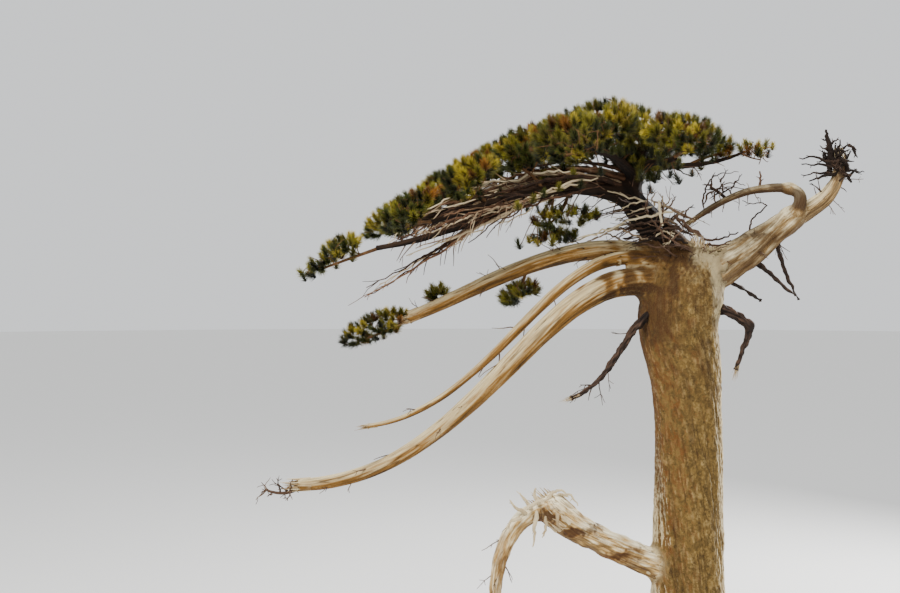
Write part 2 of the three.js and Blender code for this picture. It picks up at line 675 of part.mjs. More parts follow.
// Middles and radii at even steps along a limb
function samplesOf(limb) {
  return Array.from({ length: LIMB_SAMPLES + 1 }, (_, i) => {
    const share = i / LIMB_SAMPLES;
    return { middle: limb.curve.getPointAt(share), radius: limb.radiusAt(share) };
  });
}

// Builds every limb in turn, each cut clear of the ones before it
function buildLimbs() {
  const limbs = new Map();
  const add = (limb) => {
    limb.solid = cutClear(solidOf(tubeGeometry(limb)), limbs.values());
    limb.clearance = solidOf(tubeGeometry(limb, GAP));
    limb.samples = samplesOf(limb);
    limbs.set(limb.name, limb);
  };
  add(makeTrunk());
  for (const sizes of LIMBS) add(makeLimb(sizes, limbs));
  return limbs;
}

function limbColour(name) {
  if (name === 'trunk') return COLOURS.trunk;
  if (name.startsWith('dead') || name.startsWith('hook')) return COLOURS.dead;
  return name.startsWith('right') || name.startsWith('arch') ? COLOURS.snag : COLOURS.bough;
}

function buildTree() {
  const limbs = buildLimbs();
  const masses = [
    ...CROWN_ROWS.flatMap((row) => makeRow(row, limbs)),
    ...[...LOWER_MASSES, ...BARE_MASSES].map((mass) => makeLowerMass(mass, limbs)),
  ];
  const wood = new THREE.Group();
  for (const limb of limbs.values()) {
    const root = limb.curve.getPointAt(0);
    wood.add(meshOf(limb.name, limb.solid, root, limbColour(limb.name), BARK_ROUGHNESS));
  }
  const crown = new THREE.Group();
  masses.forEach((mass, i) => {
    const solid = growMass(mass, masses, limbs, FIRST_SEED + i);
    const colour = mass.twigs ? COLOURS.twigs : COLOURS.needles;
    crown.add(meshOf(mass.name, solid, mass.space.centre, colour, FOLIAGE_ROUGHNESS));
  });
  const tree = new THREE.Group();
  tree.add(wood, crown);
  return tree;
}

export default buildTree();
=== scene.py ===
"""An old mountain pine that the wind has combed to one side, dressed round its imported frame.

Metres, +Z up, with the origin at the middle of the trunk's foot on the ground.
-X is downwind, where the crown streams to, and -Y is the side that is seen in front.
"""

import json
import math
from typing import NamedTuple

import bpy
import numpy as np
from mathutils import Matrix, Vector, noise

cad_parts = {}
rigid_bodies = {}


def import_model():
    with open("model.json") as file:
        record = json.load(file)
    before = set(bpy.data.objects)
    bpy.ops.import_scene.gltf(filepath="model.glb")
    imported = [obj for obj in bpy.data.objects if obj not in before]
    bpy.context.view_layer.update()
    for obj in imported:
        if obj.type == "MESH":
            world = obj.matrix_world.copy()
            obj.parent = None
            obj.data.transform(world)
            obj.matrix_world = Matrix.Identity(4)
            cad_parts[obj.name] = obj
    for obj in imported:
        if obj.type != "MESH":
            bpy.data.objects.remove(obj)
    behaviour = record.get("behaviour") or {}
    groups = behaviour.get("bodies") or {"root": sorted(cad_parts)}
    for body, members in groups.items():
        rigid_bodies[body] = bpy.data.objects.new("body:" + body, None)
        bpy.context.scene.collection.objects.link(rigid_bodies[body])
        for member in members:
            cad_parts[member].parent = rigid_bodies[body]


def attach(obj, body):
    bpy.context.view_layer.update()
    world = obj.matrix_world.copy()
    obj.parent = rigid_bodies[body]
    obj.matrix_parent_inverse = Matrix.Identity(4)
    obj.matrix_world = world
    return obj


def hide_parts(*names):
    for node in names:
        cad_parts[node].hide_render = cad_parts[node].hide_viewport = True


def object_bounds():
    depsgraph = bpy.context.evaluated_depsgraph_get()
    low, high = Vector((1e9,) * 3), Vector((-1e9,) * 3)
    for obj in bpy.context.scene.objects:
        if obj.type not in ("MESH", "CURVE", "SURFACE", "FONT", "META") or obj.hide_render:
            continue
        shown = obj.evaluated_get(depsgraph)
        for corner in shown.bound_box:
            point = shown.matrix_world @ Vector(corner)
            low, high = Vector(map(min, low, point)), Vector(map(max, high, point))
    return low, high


bl_info = {
    "name": "Windswept pine",
    "version": (1, 0, 0),
    "blender": (4, 5, 0),
    "location": "3D View > Sidebar > Pine",
    "description": "Bark, dead wood, twigs and needles of a windswept mountain pine",
    "category": "Add Mesh",
}

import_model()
CAD_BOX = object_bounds()

# Trunk, as in the source
TRUNK_TOP = 5.390
FORK_HEIGHT = 4.850
FOOT_RADIUS = 0.640
WAIST_RADIUS = 0.392
SHOULDER_RADIUS = 0.480
TOP_RADIUS = 0.215
FLARE_HEIGHT = 0.760
SHOULDER_START = 3.300
ROOT_LOBES = 6
LOBE_DEPTH = 0.17
LOBE_HEIGHT = 0.330
LOBE_VARIETY = 0.5
TRUNK_SWAY = (0, -0.020, -0.028, -0.018, -0.014, -0.055, -0.140, 0.110)

# The crown's sheet of foliage, as in the source
CREST_X = -0.950
CREST_HEIGHT = 7.210
CROWN_REACH = 3.600
CROWN_FALL = 1.880
FALL_POWER = 1.4
UPWIND_SLOPE = 0.27
CROWN_HALF_WIDTH = 1.500
SIDE_FALL = 0.190
BACK_SLOPE = 0.08
CREST_HALF_HEIGHT = 0.320
EDGE_HALF_HEIGHT = 0.165
UPWIND_REACH = 1.750
HALF_LENGTH = 0.440

# How foliage grows, as in the source
SPRAY_LENGTH = 0.255
SPRAY_SHARE = 1.15
SPRAY_REACH = 0.8
SPRAY_SLIMNESS = 0.43
SPRAY_TEETH = 4
SPRAY_SPACING = 0.95
RIM_BACK = 0.3
VALLEY_WIDTH = 0.34
VALLEY_DEPTH = 0.28
SKIRT = 0.45
BARE_SKIRT = 0.9
TIP_DEPTH = 0.97
LIFT = 0.16
MOST_LONG = 1.25
MOST_HIGH = 0.95
STEM_BACK = 0.6
STEM_FIRST = 0.15
TWIG_RADIUS = 0.010
TWIG_CORNERS = 3
ROOT_SHARE = 0.45
TWIG_FORKS = np.array((0.2, 0.4, 0.6, 0.8))
STEM_FORKS = (0.35, 0.5, 0.65, 0.8, 0.95)
FORKS_TRIED = 5
STEM_RADIUS = 0.024
STEM_THICKEST = 0.8
STEM_TAPER = 0.6
ELBOW_SHARE = 0.6
UNDERSIDE = -0.8
STEM_END = (0.45, -0.5)
BARE_STEM_END = (0.45, 0.2)
GOLDEN_ANGLE = math.pi * (3 - math.sqrt(5))
BARE_SPACING = 0.170
CANDIDATES = 110
PATH_WEIGHT = 0.35
CROWDING = 0.070
SPACE_MARGIN = 0.03
LIMB_MARGIN = 0.010
LIMB_SAMPLES = 40
FIRST_SEED = 100
COLLAR = 0.22
COLLAR_LENGTH = 3
SWELL_START = 0.6

LINE_STEPS = 400  # even steps in which a limb's middle line is kept
UP = np.array((0.0, 0.0, 1.0))

# Limbs: name, parent, where on it (a share of its length, or a height on the trunk), how far out from its
# middle, bearing from downwind, reach, rise, angles at which it leaves and arrives, radius at foot and tip,
# power of its taper, how far either angle holds as shares of the way, and how much its tip swells
LIMB_TABLE = (
    ("bough_low", "trunk", 4.76, -0.045, -12, 4.609, -2.047, 34, 1, 0.172, 0.07, 1.4, (0.38, 0.44)),
    ("bough_middle", "trunk", 5.0, 0.025, -3, 3.797, -1.712, 38, -7, 0.092, 0.026, 1.1, (0.44, 0.41)),
    ("bough_high", "trunk", 5.13, 0.1, 10, 3.368, -0.565, 34, -21, 0.128, 0.076, 1, (0.37, 0.33)),
    ("right_limb", "trunk", 4.98, -0.03, 174, 1.32, 0.78, 23, 39, 0.248, 0.146, 1.1),
    ("right_snag", "right_limb", 1, 0, 176, 0.62, 0.7, 22, 94, 0.122, 0.066, 0.8),
    ("arch_rise", "right_limb", 0.93, 0, -150, 0.07, 0.43, 37, 165, 0.086, 0.06, 1, (0.57, 0.53)),
    ("arch_return", "arch_rise", 1, 0, -8, 1.27, -0.43, 4, -35, 0.06, 0.026, 0.9),
    ("upper_trunk", "trunk", 5.15, 0.145, 5, 0.6, 0.903, 73, 62, 0.208, 0.132),
    ("leader", "upper_trunk", 1, 0, 176, 0.15, 0.56, 72, 88, 0.112, 0.056),
    ("dead_limb", "trunk", 1.42, 0, -16, 1.738, 0.954, 31, 41, 0.152, 0.15, 1, (0.38, 0.38), 0.2),
    ("dead_limb_hanging", "dead_limb", 1, 0, -8, 0.646, -1.396, 2, -100, 0.112, 0.046, 0.8),
    ("dead_drop", "trunk", 4.64, 0, -25, 1.501, -0.991, 8, -15, 0.058, 0.02, 1, (0.46, 0.43)),
    ("hook_arm", "trunk", 4.78, 0, -160, 0.789, -0.308, -14, -43, 0.062, 0.048),
    ("hook_hanging", "hook_arm", 1, 0, 20, 0.15, -0.52, -88, -78, 0.042, 0.02),
    ("dead_spike_near", "right_limb", 0.5, 0, -170, 0.64, -0.48, -20, -36, 0.04, 0.01),
    ("dead_spike_far", "right_limb", 0.86, 0, 165, 0.3, -0.84, -88, -58, 0.036, 0.01),
    ("dead_stub", "right_limb", 0.2, 0, 160, 0.76, -0.33, -14, -28, 0.034, 0.013),
    ("crown_bough_low", "upper_trunk", 0.97, 0, -1, 3.06, -0.614, 22, -9, 0.098, 0.03, 1.1, (0.35, 0.47)),
    ("crown_bough_middle", "upper_trunk", 0.99, 0, 7, 2.68, -0.33, 32, -22, 0.078, 0.027),
    ("crown_bough_front", "upper_trunk", 0.9, 0, -19, 2.56, -0.29, 20, -18, 0.078, 0.027),
    ("crown_bough_back", "upper_trunk", 0.95, 0, 25, 2.66, -0.18, 26, -18, 0.078, 0.027),
    ("crown_bough_front_wide", "leader", 0.36, 0, -55, 1.5, 0.27, 26, 2, 0.066, 0.027),
    ("crown_bough_back_wide", "leader", 0.16, 0, 57, 1.52, 0.39, 30, 6, 0.066, 0.027),
    ("crown_bough_high", "leader", 0.72, 0, 2, 0.82, 0.09, 28, -10, 0.05, 0.03),
    ("crown_bough_right", "leader", 0.62, 0, 178, 1.29, 0.19, 2, 24, 0.048, 0.015),
    ("crown_bough_right_front", "leader", 0.5, 0, -108, 0.9, 0.06, 22, 4, 0.052, 0.026),
    ("crown_bough_right_back", "leader", 0.6, 0, 108, 0.96, 0.2, 26, 8, 0.052, 0.026),
)

# Rows of foliage masses: name, bough, how many, distance of the first and last from the bough's root,
# half width of the first and last, and where the stem leaves the bough if it isn't just behind
CROWN_ROWS = (
    ("needles_tip", "crown_bough_low", 1, 3.59, 3.59, 0.38, 0.38),
    ("needles_middle", "crown_bough_middle", 3, 1.6, 2.94, 0.48, 0.42),
    ("needles_front", "crown_bough_front", 3, 1.44, 2.82, 0.42, 0.43),
    ("needles_back", "crown_bough_back", 3, 1.49, 2.92, 0.42, 0.43),
    ("needles_front_wide", "crown_bough_front_wide", 2, 0.9, 1.62, 0.49, 0.5),
    ("needles_back_wide", "crown_bough_back_wide", 2, 0.9, 1.64, 0.49, 0.5),
    ("needles_shoulder", "crown_bough_high", 1, 0.96, 0.96, 0.48, 0.48),
    ("needles_top", "leader", 1, 0.04, 0.04, 0.5, 0.5, 1),
    ("needles_right", "crown_bough_right", 2, 0.27, 0.83, 0.48, 0.31),
    ("needles_right_tip", "crown_bough_right", 1, 1.4, 1.4, 0.2, 0.2),
    ("needles_right_front", "crown_bough_right_front", 1, 1.08, 1.08, 0.52, 0.52),
    ("needles_right_back", "crown_bough_right_back", 1, 1.12, 1.12, 0.52, 0.52),
)

# Foliage masses apart from the crown: name, bough, where on it, how far ahead, aside and above, and half
# length, width and height; a mass of dead twigs has their number too
LOWER_MASSES = (
    ("needles_bough_tip", "bough_high", 1, 0.44, 0, -0.11, 0.52, 0.29, 0.215),
    ("needles_bough_top", "bough_high", 0.9, 0, 0.09, 0.21, 0.19, 0.16, 0.12),
    ("needles_bough_under", "bough_high", 0.55, 0.11, 0.17, -0.3, 0.31, 0.24, 0.175),
    ("needles_under_near", "crown_bough_low", 0.24, 0.06, -0.11, -0.33, 0.46, 0.2, 0.16),
    ("needles_under_far", "crown_bough_middle", 0.34, 0, 0.19, -0.69, 0.34, 0.22, 0.13),
)
BARE_MASSES = (
    ("twigs_snag", "right_snag", 0.97, -0.07, 0, 0.06, 0.36, 0.3, 0.39, 24),
    ("twigs_tangle", "upper_trunk", 0.45, -0.13, -0.3, 0.06, 0.56, 0.21, 0.26, 24),
    ("twigs_arch", "arch_return", 0.6, 0.06, 0.02, 0.19, 0.3, 0.15, 0.15, 12),
    ("twigs_bough_end", "bough_low", 1, 0.2, 0, -0.09, 0.3, 0.19, 0.18, 12),
)

# Dead branches placed one by one: radius at foot and tip, tone, depths (y) spread evenly along it, and
# its bends as x and z
TANGLE = (
    (0.02, 0.007, 0.9, (-0.22, -0.25), (-0.21, 5.86), (-0.46, 5.8), (-0.64, 5.77), (-0.94, 5.66),
     (-1.23, 5.57), (-1.38, 5.52)),
    (0.013, 0.006, 0.8, -0.2, (-0.59, 5.97), (-0.81, 6.03), (-1.02, 6.09)),
    (0.018, 0.014, 1.0, -0.3, (-0.43, 5.97), (-0.41, 5.83), (-0.39, 5.67)),
    (0.013, 0.006, 0.8, -0.22, (-0.54, 5.96), (-0.71, 5.95), (-0.85, 5.89)),
    (0.013, 0.006, 0.75, -0.24, (-0.5, 5.9), (-0.64, 5.87), (-0.79, 5.81)),
    (0.015, 0.006, 0.5, (-0.24, -0.2), (-0.5, 5.5), (-0.71, 5.56), (-0.85, 5.64), (-1.03, 5.6),
     (-1.25, 5.5)),
    (0.024, 0.012, 0.5, -0.22, (-0.02, 5.76), (-0.2, 5.84), (-0.34, 5.91), (-0.47, 5.96)),
    (0.032, 0.018, 0.3, (-0.2, -0.24), (0.09, 5.56), (-0.07, 5.66), (-0.23, 5.8)),
    (0.026, 0.01, 0.1, (-0.26, -0.27, -0.26, -0.26), (-0.06, 5.58), (-0.24, 5.65), (-0.39, 5.62),
     (-0.69, 5.59)),
    (0.022, 0.008, 0, (-0.26, -0.29, -0.26, -0.26), (-0.08, 5.47), (-0.26, 5.55), (-0.52, 5.52),
     (-0.74, 5.46)),
    (0.018, 0.008, 0.3, (-0.24, -0.27, -0.26, -0.28), (-0.03, 5.36), (-0.22, 5.44), (-0.39, 5.42),
     (-0.62, 5.47)),
    (0.022, 0.01, 0.15, (-0.24, -0.26), (-0.17, 5.67), (-0.5, 5.73), (-0.79, 5.69)),
    (0.012, 0.006, 0.85, -0.3, (-0.34, 5.61), (-0.26, 5.55), (-0.32, 5.45)),
    (0.013, 0.006, 0.7, -0.28, (-0.47, 5.54), (-0.37, 5.61), (-0.24, 5.58)),
    (0.015, 0.005, 0.35, (-0.2, -0.16), (-0.35, 5.84), (-0.25, 5.95), (-0.2, 6.03)),
    (0.014, 0.005, 0.55, (-0.2, -0.16), (-0.46, 5.91), (-0.49, 6.01), (-0.43, 6.08)),
    (0.016, 0.005, 0.2, (-0.22, -0.18), (-0.12, 5.76), (-0.09, 5.85), (0, 5.93)),
)
LOOSE_TWIGS = (
    (0.018, 0.006, 0.1, (0.02, -0.02), (-0.5, 6.52), (-0.28, 6.43), (0.02, 6.28)),
    (0.018, 0.008, 0.2, (-0.12, -0.08), (0.06, 5.56), (0.24, 5.51), (0.39, 5.55), (0.56, 5.61)),
    (0.018, 0.008, 0.3, (-0.14, -0.1), (0.12, 5.47), (0.27, 5.45), (0.47, 5.51)),
    (0.02, 0.01, 0.9, -0.2, (-0.04, 5.66), (0.04, 5.56), (0.07, 5.42)),
    (0.014, 0.004, 0.15, -0.06, (0.14, 5.85), (0.15, 6.02), (0.19, 6.17), (0.27, 6.28), (0.39, 6.32),
     (0.57, 6.33)),
    (0.015, 0.004, 0.2, -0.06, (0.15, 5.94), (0.2, 6.07), (0.31, 6.13), (0.48, 6.15), (0.63, 6.13)),
    (0.012, 0.004, 0.25, (-0.05, -0.02), (0.3, 5.92), (0.28, 6.08), (0.4, 6.18), (0.56, 6.21),
     (0.66, 6.17)),
    (0.02, 0.01, 0.3, 0.04, (0.85, 6.12), (0.86, 6.23), (0.85, 6.35)),
    (0.014, 0.005, 0.15, 0.08, (0.77, 5.49), (0.74, 5.67), (0.77, 5.78), (0.84, 5.85), (0.95, 5.94),
     (0.9, 5.97), (0.77, 5.96), (0.65, 6.0)),
    (0.012, 0.005, 0.2, 0, (0.52, 6.01), (0.47, 6.12), (0.39, 6.17)),
    (0.06, 0.014, 0, 0.16, (1.83, 6.38), (1.76, 6.5), (1.73, 6.66), (1.7, 6.77), (1.69, 6.87)),
    (0.036, 0.014, 0, 0.15, (1.74, 6.6), (1.71, 6.72), (1.7, 6.8)),
    (0.05, 0.02, 0, 0.1, (1.8, 6.36), (1.83, 6.46), (1.85, 6.54)),
    (0.05, 0.02, 0, 0.18, (1.88, 6.34), (1.9, 6.44), (1.86, 6.52)),
    (0.04, 0.02, 0, 0.22, (1.78, 6.38), (1.72, 6.5), (1.68, 6.58)),
    (0.018, 0.006, 0, 0.14, (1.72, 6.64), (1.78, 6.73), (1.84, 6.75)),
    (0.018, 0.006, 0, 0.16, (1.73, 6.71), (1.65, 6.76)),
    (0.02, 0.006, 0, 0.14, (1.73, 6.58), (1.83, 6.63), (1.91, 6.61)),
    (0.018, 0.006, 0, 0.16, (1.74, 6.56), (1.64, 6.61)),
    (0.026, 0.006, 0.05, 0.12, (1.83, 6.44), (1.6, 6.52), (1.35, 6.52)),
    (0.022, 0.005, 0, 0.12, (1.82, 6.4), (1.58, 6.45), (1.38, 6.44)),
    (0.02, 0.005, 0.1, 0.14, (1.8, 6.32), (1.58, 6.34), (1.38, 6.32)),
    (0.026, 0.008, 0, 0.12, (1.82, 6.35), (1.63, 6.3), (1.47, 6.24)),
    (0.046, 0.03, 0, 0.12, (1.8, 6.42), (1.91, 6.45), (1.94, 6.35)),
    (0.02, 0.005, 0, 0.12, (1.92, 6.4), (2.03, 6.36), (2.14, 6.35)),
    (0.03, 0.012, 0, 0.12, (1.87, 6.35), (1.95, 6.28), (1.98, 6.22)),
    (0.024, 0.008, 0, 0.05, (1.8, 6.45), (1.82, 6.55), (1.8, 6.66)),
    (0.03, 0.01, 0, 0.22, (1.88, 6.41), (1.81, 6.57), (1.83, 6.72)),
)
# Torn fibres at the dead limb's elbow
ELBOW_SHARDS = (
    (0.034, 0.008, 0.9, (-0.62, -0.66), (-1.86, 2.46), (-1.92, 2.58), (-1.9, 2.66)),
    (0.03, 0.006, 0.9, (-0.62, -0.64, -0.64), (-1.94, 2.42), (-2.04, 2.54), (-2.08, 2.6)),
    (0.03, 0.006, 0.8, (-0.62, -0.64, -0.64), (-2.0, 2.36), (-2.13, 2.43), (-2.2, 2.52)),
    (0.028, 0.006, 0.9, -0.58, (-1.78, 2.5), (-1.7, 2.6), (-1.6, 2.62), (-1.52, 2.54)),
    (0.028, 0.006, 0.9, (-0.52, -0.5, -0.48, -0.48), (-1.7, 2.48), (-1.62, 2.56), (-1.48, 2.55),
     (-1.4, 2.42)),
    (0.034, 0.006, 0.85, (-0.76, -0.8, -0.8, -0.8), (-1.9, 2.42), (-1.92, 2.28), (-1.93, 2.14),
     (-1.95, 2.02)),
    (0.026, 0.006, 0.7, (-0.76, -0.78, -0.78), (-1.8, 2.36), (-1.8, 2.2), (-1.84, 2.12)),
    (0.03, 0.006, 0.9, (-0.68, -0.7, -0.7), (-2.06, 2.32), (-2.18, 2.3), (-2.24, 2.2)),
    (0.026, 0.006, 0.6, (-0.72, -0.74, -0.74), (-1.68, 2.4), (-1.66, 2.26), (-1.6, 2.2)),
    (0.03, 0.008, 1.0, (-0.7, -0.74, -0.72), (-2.02, 2.42), (-1.9, 2.52), (-1.76, 2.56)),
)
LOOSE_BRANCHES = (
    (0.017, 0.007, 0.8, (-0.34, -0.55), (-1.15, 6.23), (-1.54, 6.15), (-1.81, 6.03), (-2.13, 5.91),
     (-2.4, 5.82), (-2.67, 5.69)),
    (0.02, 0.006, 0.75, (-0.3, -0.5), (-1.36, 6.16), (-1.59, 6.12), (-1.95, 5.97), (-2.29, 5.79),
     (-2.59, 5.59), (-2.86, 5.42)),
    (0.016, 0.006, 1.0, (-0.3, -0.4), (-1.47, 6.31), (-1.73, 6.31), (-2.24, 6.19), (-2.73, 6.05),
     (-3.11, 5.87), (-3.4, 5.7), (-3.6, 5.46)),
    (0.018, 0.005, 0.15, (-0.34, -0.5), (-1.13, 6.13), (-1.71, 5.99), (-2.07, 5.85), (-2.3, 5.7),
     (-2.46, 5.52)),
    (0.018, 0.006, 0.05, (-0.28, -0.45), (-1.41, 6.21), (-1.77, 6.19), (-2.3, 6.04), (-2.76, 5.87),
     (-3.17, 5.68), (-3.48, 5.5)),
    (0.014, 0.005, 0.6, (-0.2, -0.4), (-1.58, 6.29), (-1.94, 6.26), (-2.41, 6.14), (-2.88, 5.97),
     (-3.29, 5.78)),
    (0.014, 0.005, 0.85, (-0.25, -0.35), (-1.58, 6.05), (-1.88, 5.92), (-2.15, 5.75), (-2.35, 5.67)),
    (0.016, 0.006, 0.2, (-0.1, 0.1), (-1.81, 6.04), (-2.16, 5.83), (-2.42, 5.69), (-2.66, 5.49)),
)


DRAW_FACTOR = 1664525
DRAW_STEP = 1013904223
DRAW_RANGE = 2**32
LEAST_LENGTH = 1e-9  # no vector is divided by less


def random_from(seed):
    """A seeded source of numbers from 0 to 1."""
    state = seed

    def draw():
        nonlocal state
        state = (state * DRAW_FACTOR + DRAW_STEP) % DRAW_RANGE
        return state / DRAW_RANGE

    return draw


def smooth(value, low, high):
    """0 below low, 1 above high, and an even curve between them."""
    share = np.clip((value - low) / (high - low), 0, 1)
    return share * share * (3 - 2 * share)


def unit(vectors):
    """Vectors of length 1."""
    return vectors / np.maximum(np.linalg.norm(vectors, axis=-1, keepdims=True), LEAST_LENGTH)


def heading(bearing, climb):
    """A unit direction from a bearing and a climb, in degrees."""
    turn, lift = math.radians(bearing), math.radians(climb)
    level = math.cos(lift)
    return np.array((-math.cos(turn) * level, math.sin(turn) * level, math.sin(lift)))


def square_to(direction):
    """Two unit vectors square to a direction and to each other."""
    helper = np.array((0, 1, 0)) if abs(direction[1]) < math.sqrt(0.5) else np.array((1, 0, 0))
    side = unit(np.cross(helper, direction))
    return side, np.cross(direction, side)


def crown_top(x, y):
    """The top of the crown's sheet over a point of the plan."""
    downwind = CREST_X - x
    if downwind > 0:
        fall = CROWN_FALL * (downwind / CROWN_REACH) ** FALL_POWER
    else:
        fall = -downwind * UPWIND_SLOPE
    return CREST_HEIGHT - fall - SIDE_FALL * (y / CROWN_HALF_WIDTH) ** 2 + y * BACK_SLOPE


def crown_half_height(x):
    """Half the height of a mass, from under the crest to either end of the crown."""
    share = (CREST_X - x) / CROWN_REACH if x < CREST_X else (x - CREST_X) / UPWIND_REACH
    return CREST_HALF_HEIGHT + (EDGE_HALF_HEIGHT - CREST_HALF_HEIGHT) * min(1, share)


def trunk_radius(height):
    """The trunk's radius at a height, without its root lobes."""
    flare = (FOOT_RADIUS - WAIST_RADIUS) * np.exp(-height / FLARE_HEIGHT)
    shoulder = (SHOULDER_RADIUS - WAIST_RADIUS) * smooth(height, SHOULDER_START, FORK_HEIGHT)
    stub = (SHOULDER_RADIUS - TOP_RADIUS) * smooth(height, FORK_HEIGHT, TRUNK_TOP)
    return WAIST_RADIUS + flare + shoulder - stub


def root_lobes(height, angle):
    """How much the trunk's foot spreads into lobes over its roots."""
    lobes = np.cos(ROOT_LOBES * angle) + LOBE_VARIETY * np.cos((ROOT_LOBES - 2) * angle + 1)
    return 1 + LOBE_DEPTH * np.exp(-height / LOBE_HEIGHT) * lobes


def bezier(corners, steps=LINE_STEPS):
    """Points on the curve of three or four corners."""
    t = np.linspace(0, 1, steps + 1)[:, None]
    line = list(corners)
    while len(line) > 1:
        line = [a + (b - a) * t for a, b in zip(line, line[1:])]
    return line[0]


def sway_line():
    """The trunk's middle line, smooth through its sway at even heights."""
    sway = np.array((2 * TRUNK_SWAY[0] - TRUNK_SWAY[1], *TRUNK_SWAY, 2 * TRUNK_SWAY[-1] - TRUNK_SWAY[-2]))
    spans = len(TRUNK_SWAY) - 1
    share = np.linspace(0, spans, LINE_STEPS + 1)
    i = np.minimum(share.astype(int), spans - 1)
    t = share - i
    a, b, c, d = sway[i], sway[i + 1], sway[i + 2], sway[i + 3]
    x = b + 0.5 * t * (c - a + t * (2 * a - 5 * b + 4 * c - d + t * (3 * (b - c) + d - a)))
    return np.column_stack((x, np.zeros_like(x), TRUNK_TOP * share / spans))


class Limb:
    """A round limb: its middle line in even steps, frames that turn as little as they can, and its radius."""

    def __init__(self, name, line, radius_at, lobed=False):
        steps = np.linalg.norm(np.diff(line, axis=0), axis=1)
        along = np.concatenate(([0], np.cumsum(steps)))
        even = np.linspace(0, along[-1], LINE_STEPS + 1)
        self.name = name
        self.length = along[-1]
        self.line = np.column_stack([np.interp(even, along, line[:, i]) for i in range(3)])
        self.radius_at = radius_at
        self.lobed = lobed
        self.tangents = unit(np.gradient(self.line, axis=0))
        self.normals = self.turned_frames()

    def turned_frames(self):
        """One vector square to each step's direction, carried along without twist."""
        if self.lobed:
            return np.tile((1.0, 0.0, 0.0), (len(self.line), 1))
        normal = square_to(self.tangents[0])[0]
        normals = []
        for tangent in self.tangents:
            normal = unit(normal - tangent * np.dot(normal, tangent))
            normals.append(normal)
        return np.array(normals)

    def point(self, share):
        """The middle line's point at a share of its length."""
        step = share * LINE_STEPS
        i = min(int(step), LINE_STEPS - 1)
        return self.line[i] + (self.line[i + 1] - self.line[i]) * (step - i)

    def tangent(self, share):
        """The middle line's direction at a share of its length."""
        return self.tangents[int(round(share * LINE_STEPS))]

    def radius(self, share, angle=0.0):
        """The radius at a share of the length, on the side that an angle names."""
        plain = self.radius_at(share)
        return plain * root_lobes(share * TRUNK_TOP, angle) if self.lobed else plain


class Sizes(NamedTuple):
    """A limb's sizes, as in the table of limbs."""

    name: str
    parent: str
    at: float
    out: float
    bearing: float
    reach: float
    rise: float
    leave: float
    arrive: float
    thick: float
    thin: float
    taper: float = 1
    grips: tuple = (0.38, 0.38)
    swell: float = 0


def make_limb(sizes, limbs):
    """A limb from its sizes and its parent."""
    parent = limbs[sizes.parent]
    level = heading(sizes.bearing, 0)
    root = parent.point(sizes.at / TRUNK_TOP if parent.lobed else sizes.at) + level * sizes.out
    tip = root + level * sizes.reach + UP * sizes.rise
    chord = np.linalg.norm(tip - root)
    after_root = root + heading(sizes.bearing, sizes.leave) * sizes.grips[0] * chord
    before_tip = tip - heading(sizes.bearing, sizes.arrive) * sizes.grips[1] * chord
    made = Limb(sizes.name, bezier((root, after_root, before_tip, tip)), None)
    collar = 0 if sizes.at == 1 else COLLAR

    def radius_at(share):
        root_swell = collar * np.exp(-share * made.length / (COLLAR_LENGTH * sizes.thick))
        tip_swell = sizes.swell * smooth(share, SWELL_START, 1)
        plain = sizes.thin + (sizes.thick - sizes.thin) * (1 - share) ** sizes.taper
        return plain * (1 + root_swell + tip_swell)

    made.radius_at = radius_at
    return made


def grow_limbs():
    """Every limb by name, the trunk first."""
    limbs = {"trunk": Limb("trunk", sway_line(), lambda share: trunk_radius(share * TRUNK_TOP), lobed=True)}
    for sizes in SIZES.values():
        limbs[sizes.name] = make_limb(sizes, limbs)
    return limbs


class Mass:
    """A foliage mass's own space: an ellipsoid that lies along a direction, with its width level."""

    def __init__(self, name, bough, at, centre, half, along, twigs=0):
        self.name, self.bough, self.at, self.centre, self.twigs = name, bough, at, centre, twigs
        self.half = np.array(half)
        x = unit(along)
        y = unit(np.cross(UP, x))
        self.axes = np.array((x, y, np.cross(x, y)))

    def place(self, shares):
        """Points from their shares of the half length, half width and half height."""
        return self.centre + (np.asarray(shares) * self.half) @ self.axes

    def depth(self, points):
        """0 at the centre and 1 on the surface."""
        return np.linalg.norm((points - self.centre) @ self.axes.T / self.half, axis=-1)

    def outward(self, points):
        """The directions square to the space's surface."""
        return unit(((points - self.centre) @ self.axes.T / self.half**2) @ self.axes)


def make_row(row):
    """The masses of a row hang under the top of the crown's sheet, above their bough."""
    row_name, bough_name, count, first, last, first_wide, last_wide, *stem_at = row
    bough, sizes = LIMBS[bough_name], SIZES[bough_name]
    level = heading(sizes.bearing, 0)
    made = []
    for k in range(count):
        share = k / (count - 1) if count > 1 else 0
        along = first + (last - first) * share
        wide = first_wide + (last_wide - first_wide) * share
        long = min(HALF_LENGTH, MOST_LONG * wide)
        centre = bough.point(0) + level * along
        high = min(crown_half_height(centre[0]), MOST_HIGH * wide)
        ahead = centre + level * long
        top = crown_top(centre[0], centre[1])
        slope = ahead - centre
        slope[2] = crown_top(ahead[0], ahead[1]) - top
        centre[2] = top - (1 - LIFT) * high
        at = stem_at[0] if stem_at else min(max((along - STEM_BACK * long) / sizes.reach, STEM_FIRST), 1)
        name = f"{row_name}_{k + 1}" if count > 1 else row_name
        made.append(Mass(name, bough, at, centre, (long, wide, high), slope))
    return made


def make_lower_mass(row):
    """A mass apart from the crown is placed from a point of its bough."""
    name, bough_name, at, ahead, aside, above, long, wide, high, *twigs = row
    bough, bearing = LIMBS[bough_name], SIZES[bough_name].bearing
    centre = bough.point(at) + heading(bearing, 0) * ahead
    centre = centre + heading(bearing + 90, 0) * aside + UP * above
    return Mass(name, bough, at, centre, (long, wide, high), bough.tangent(at), *twigs)


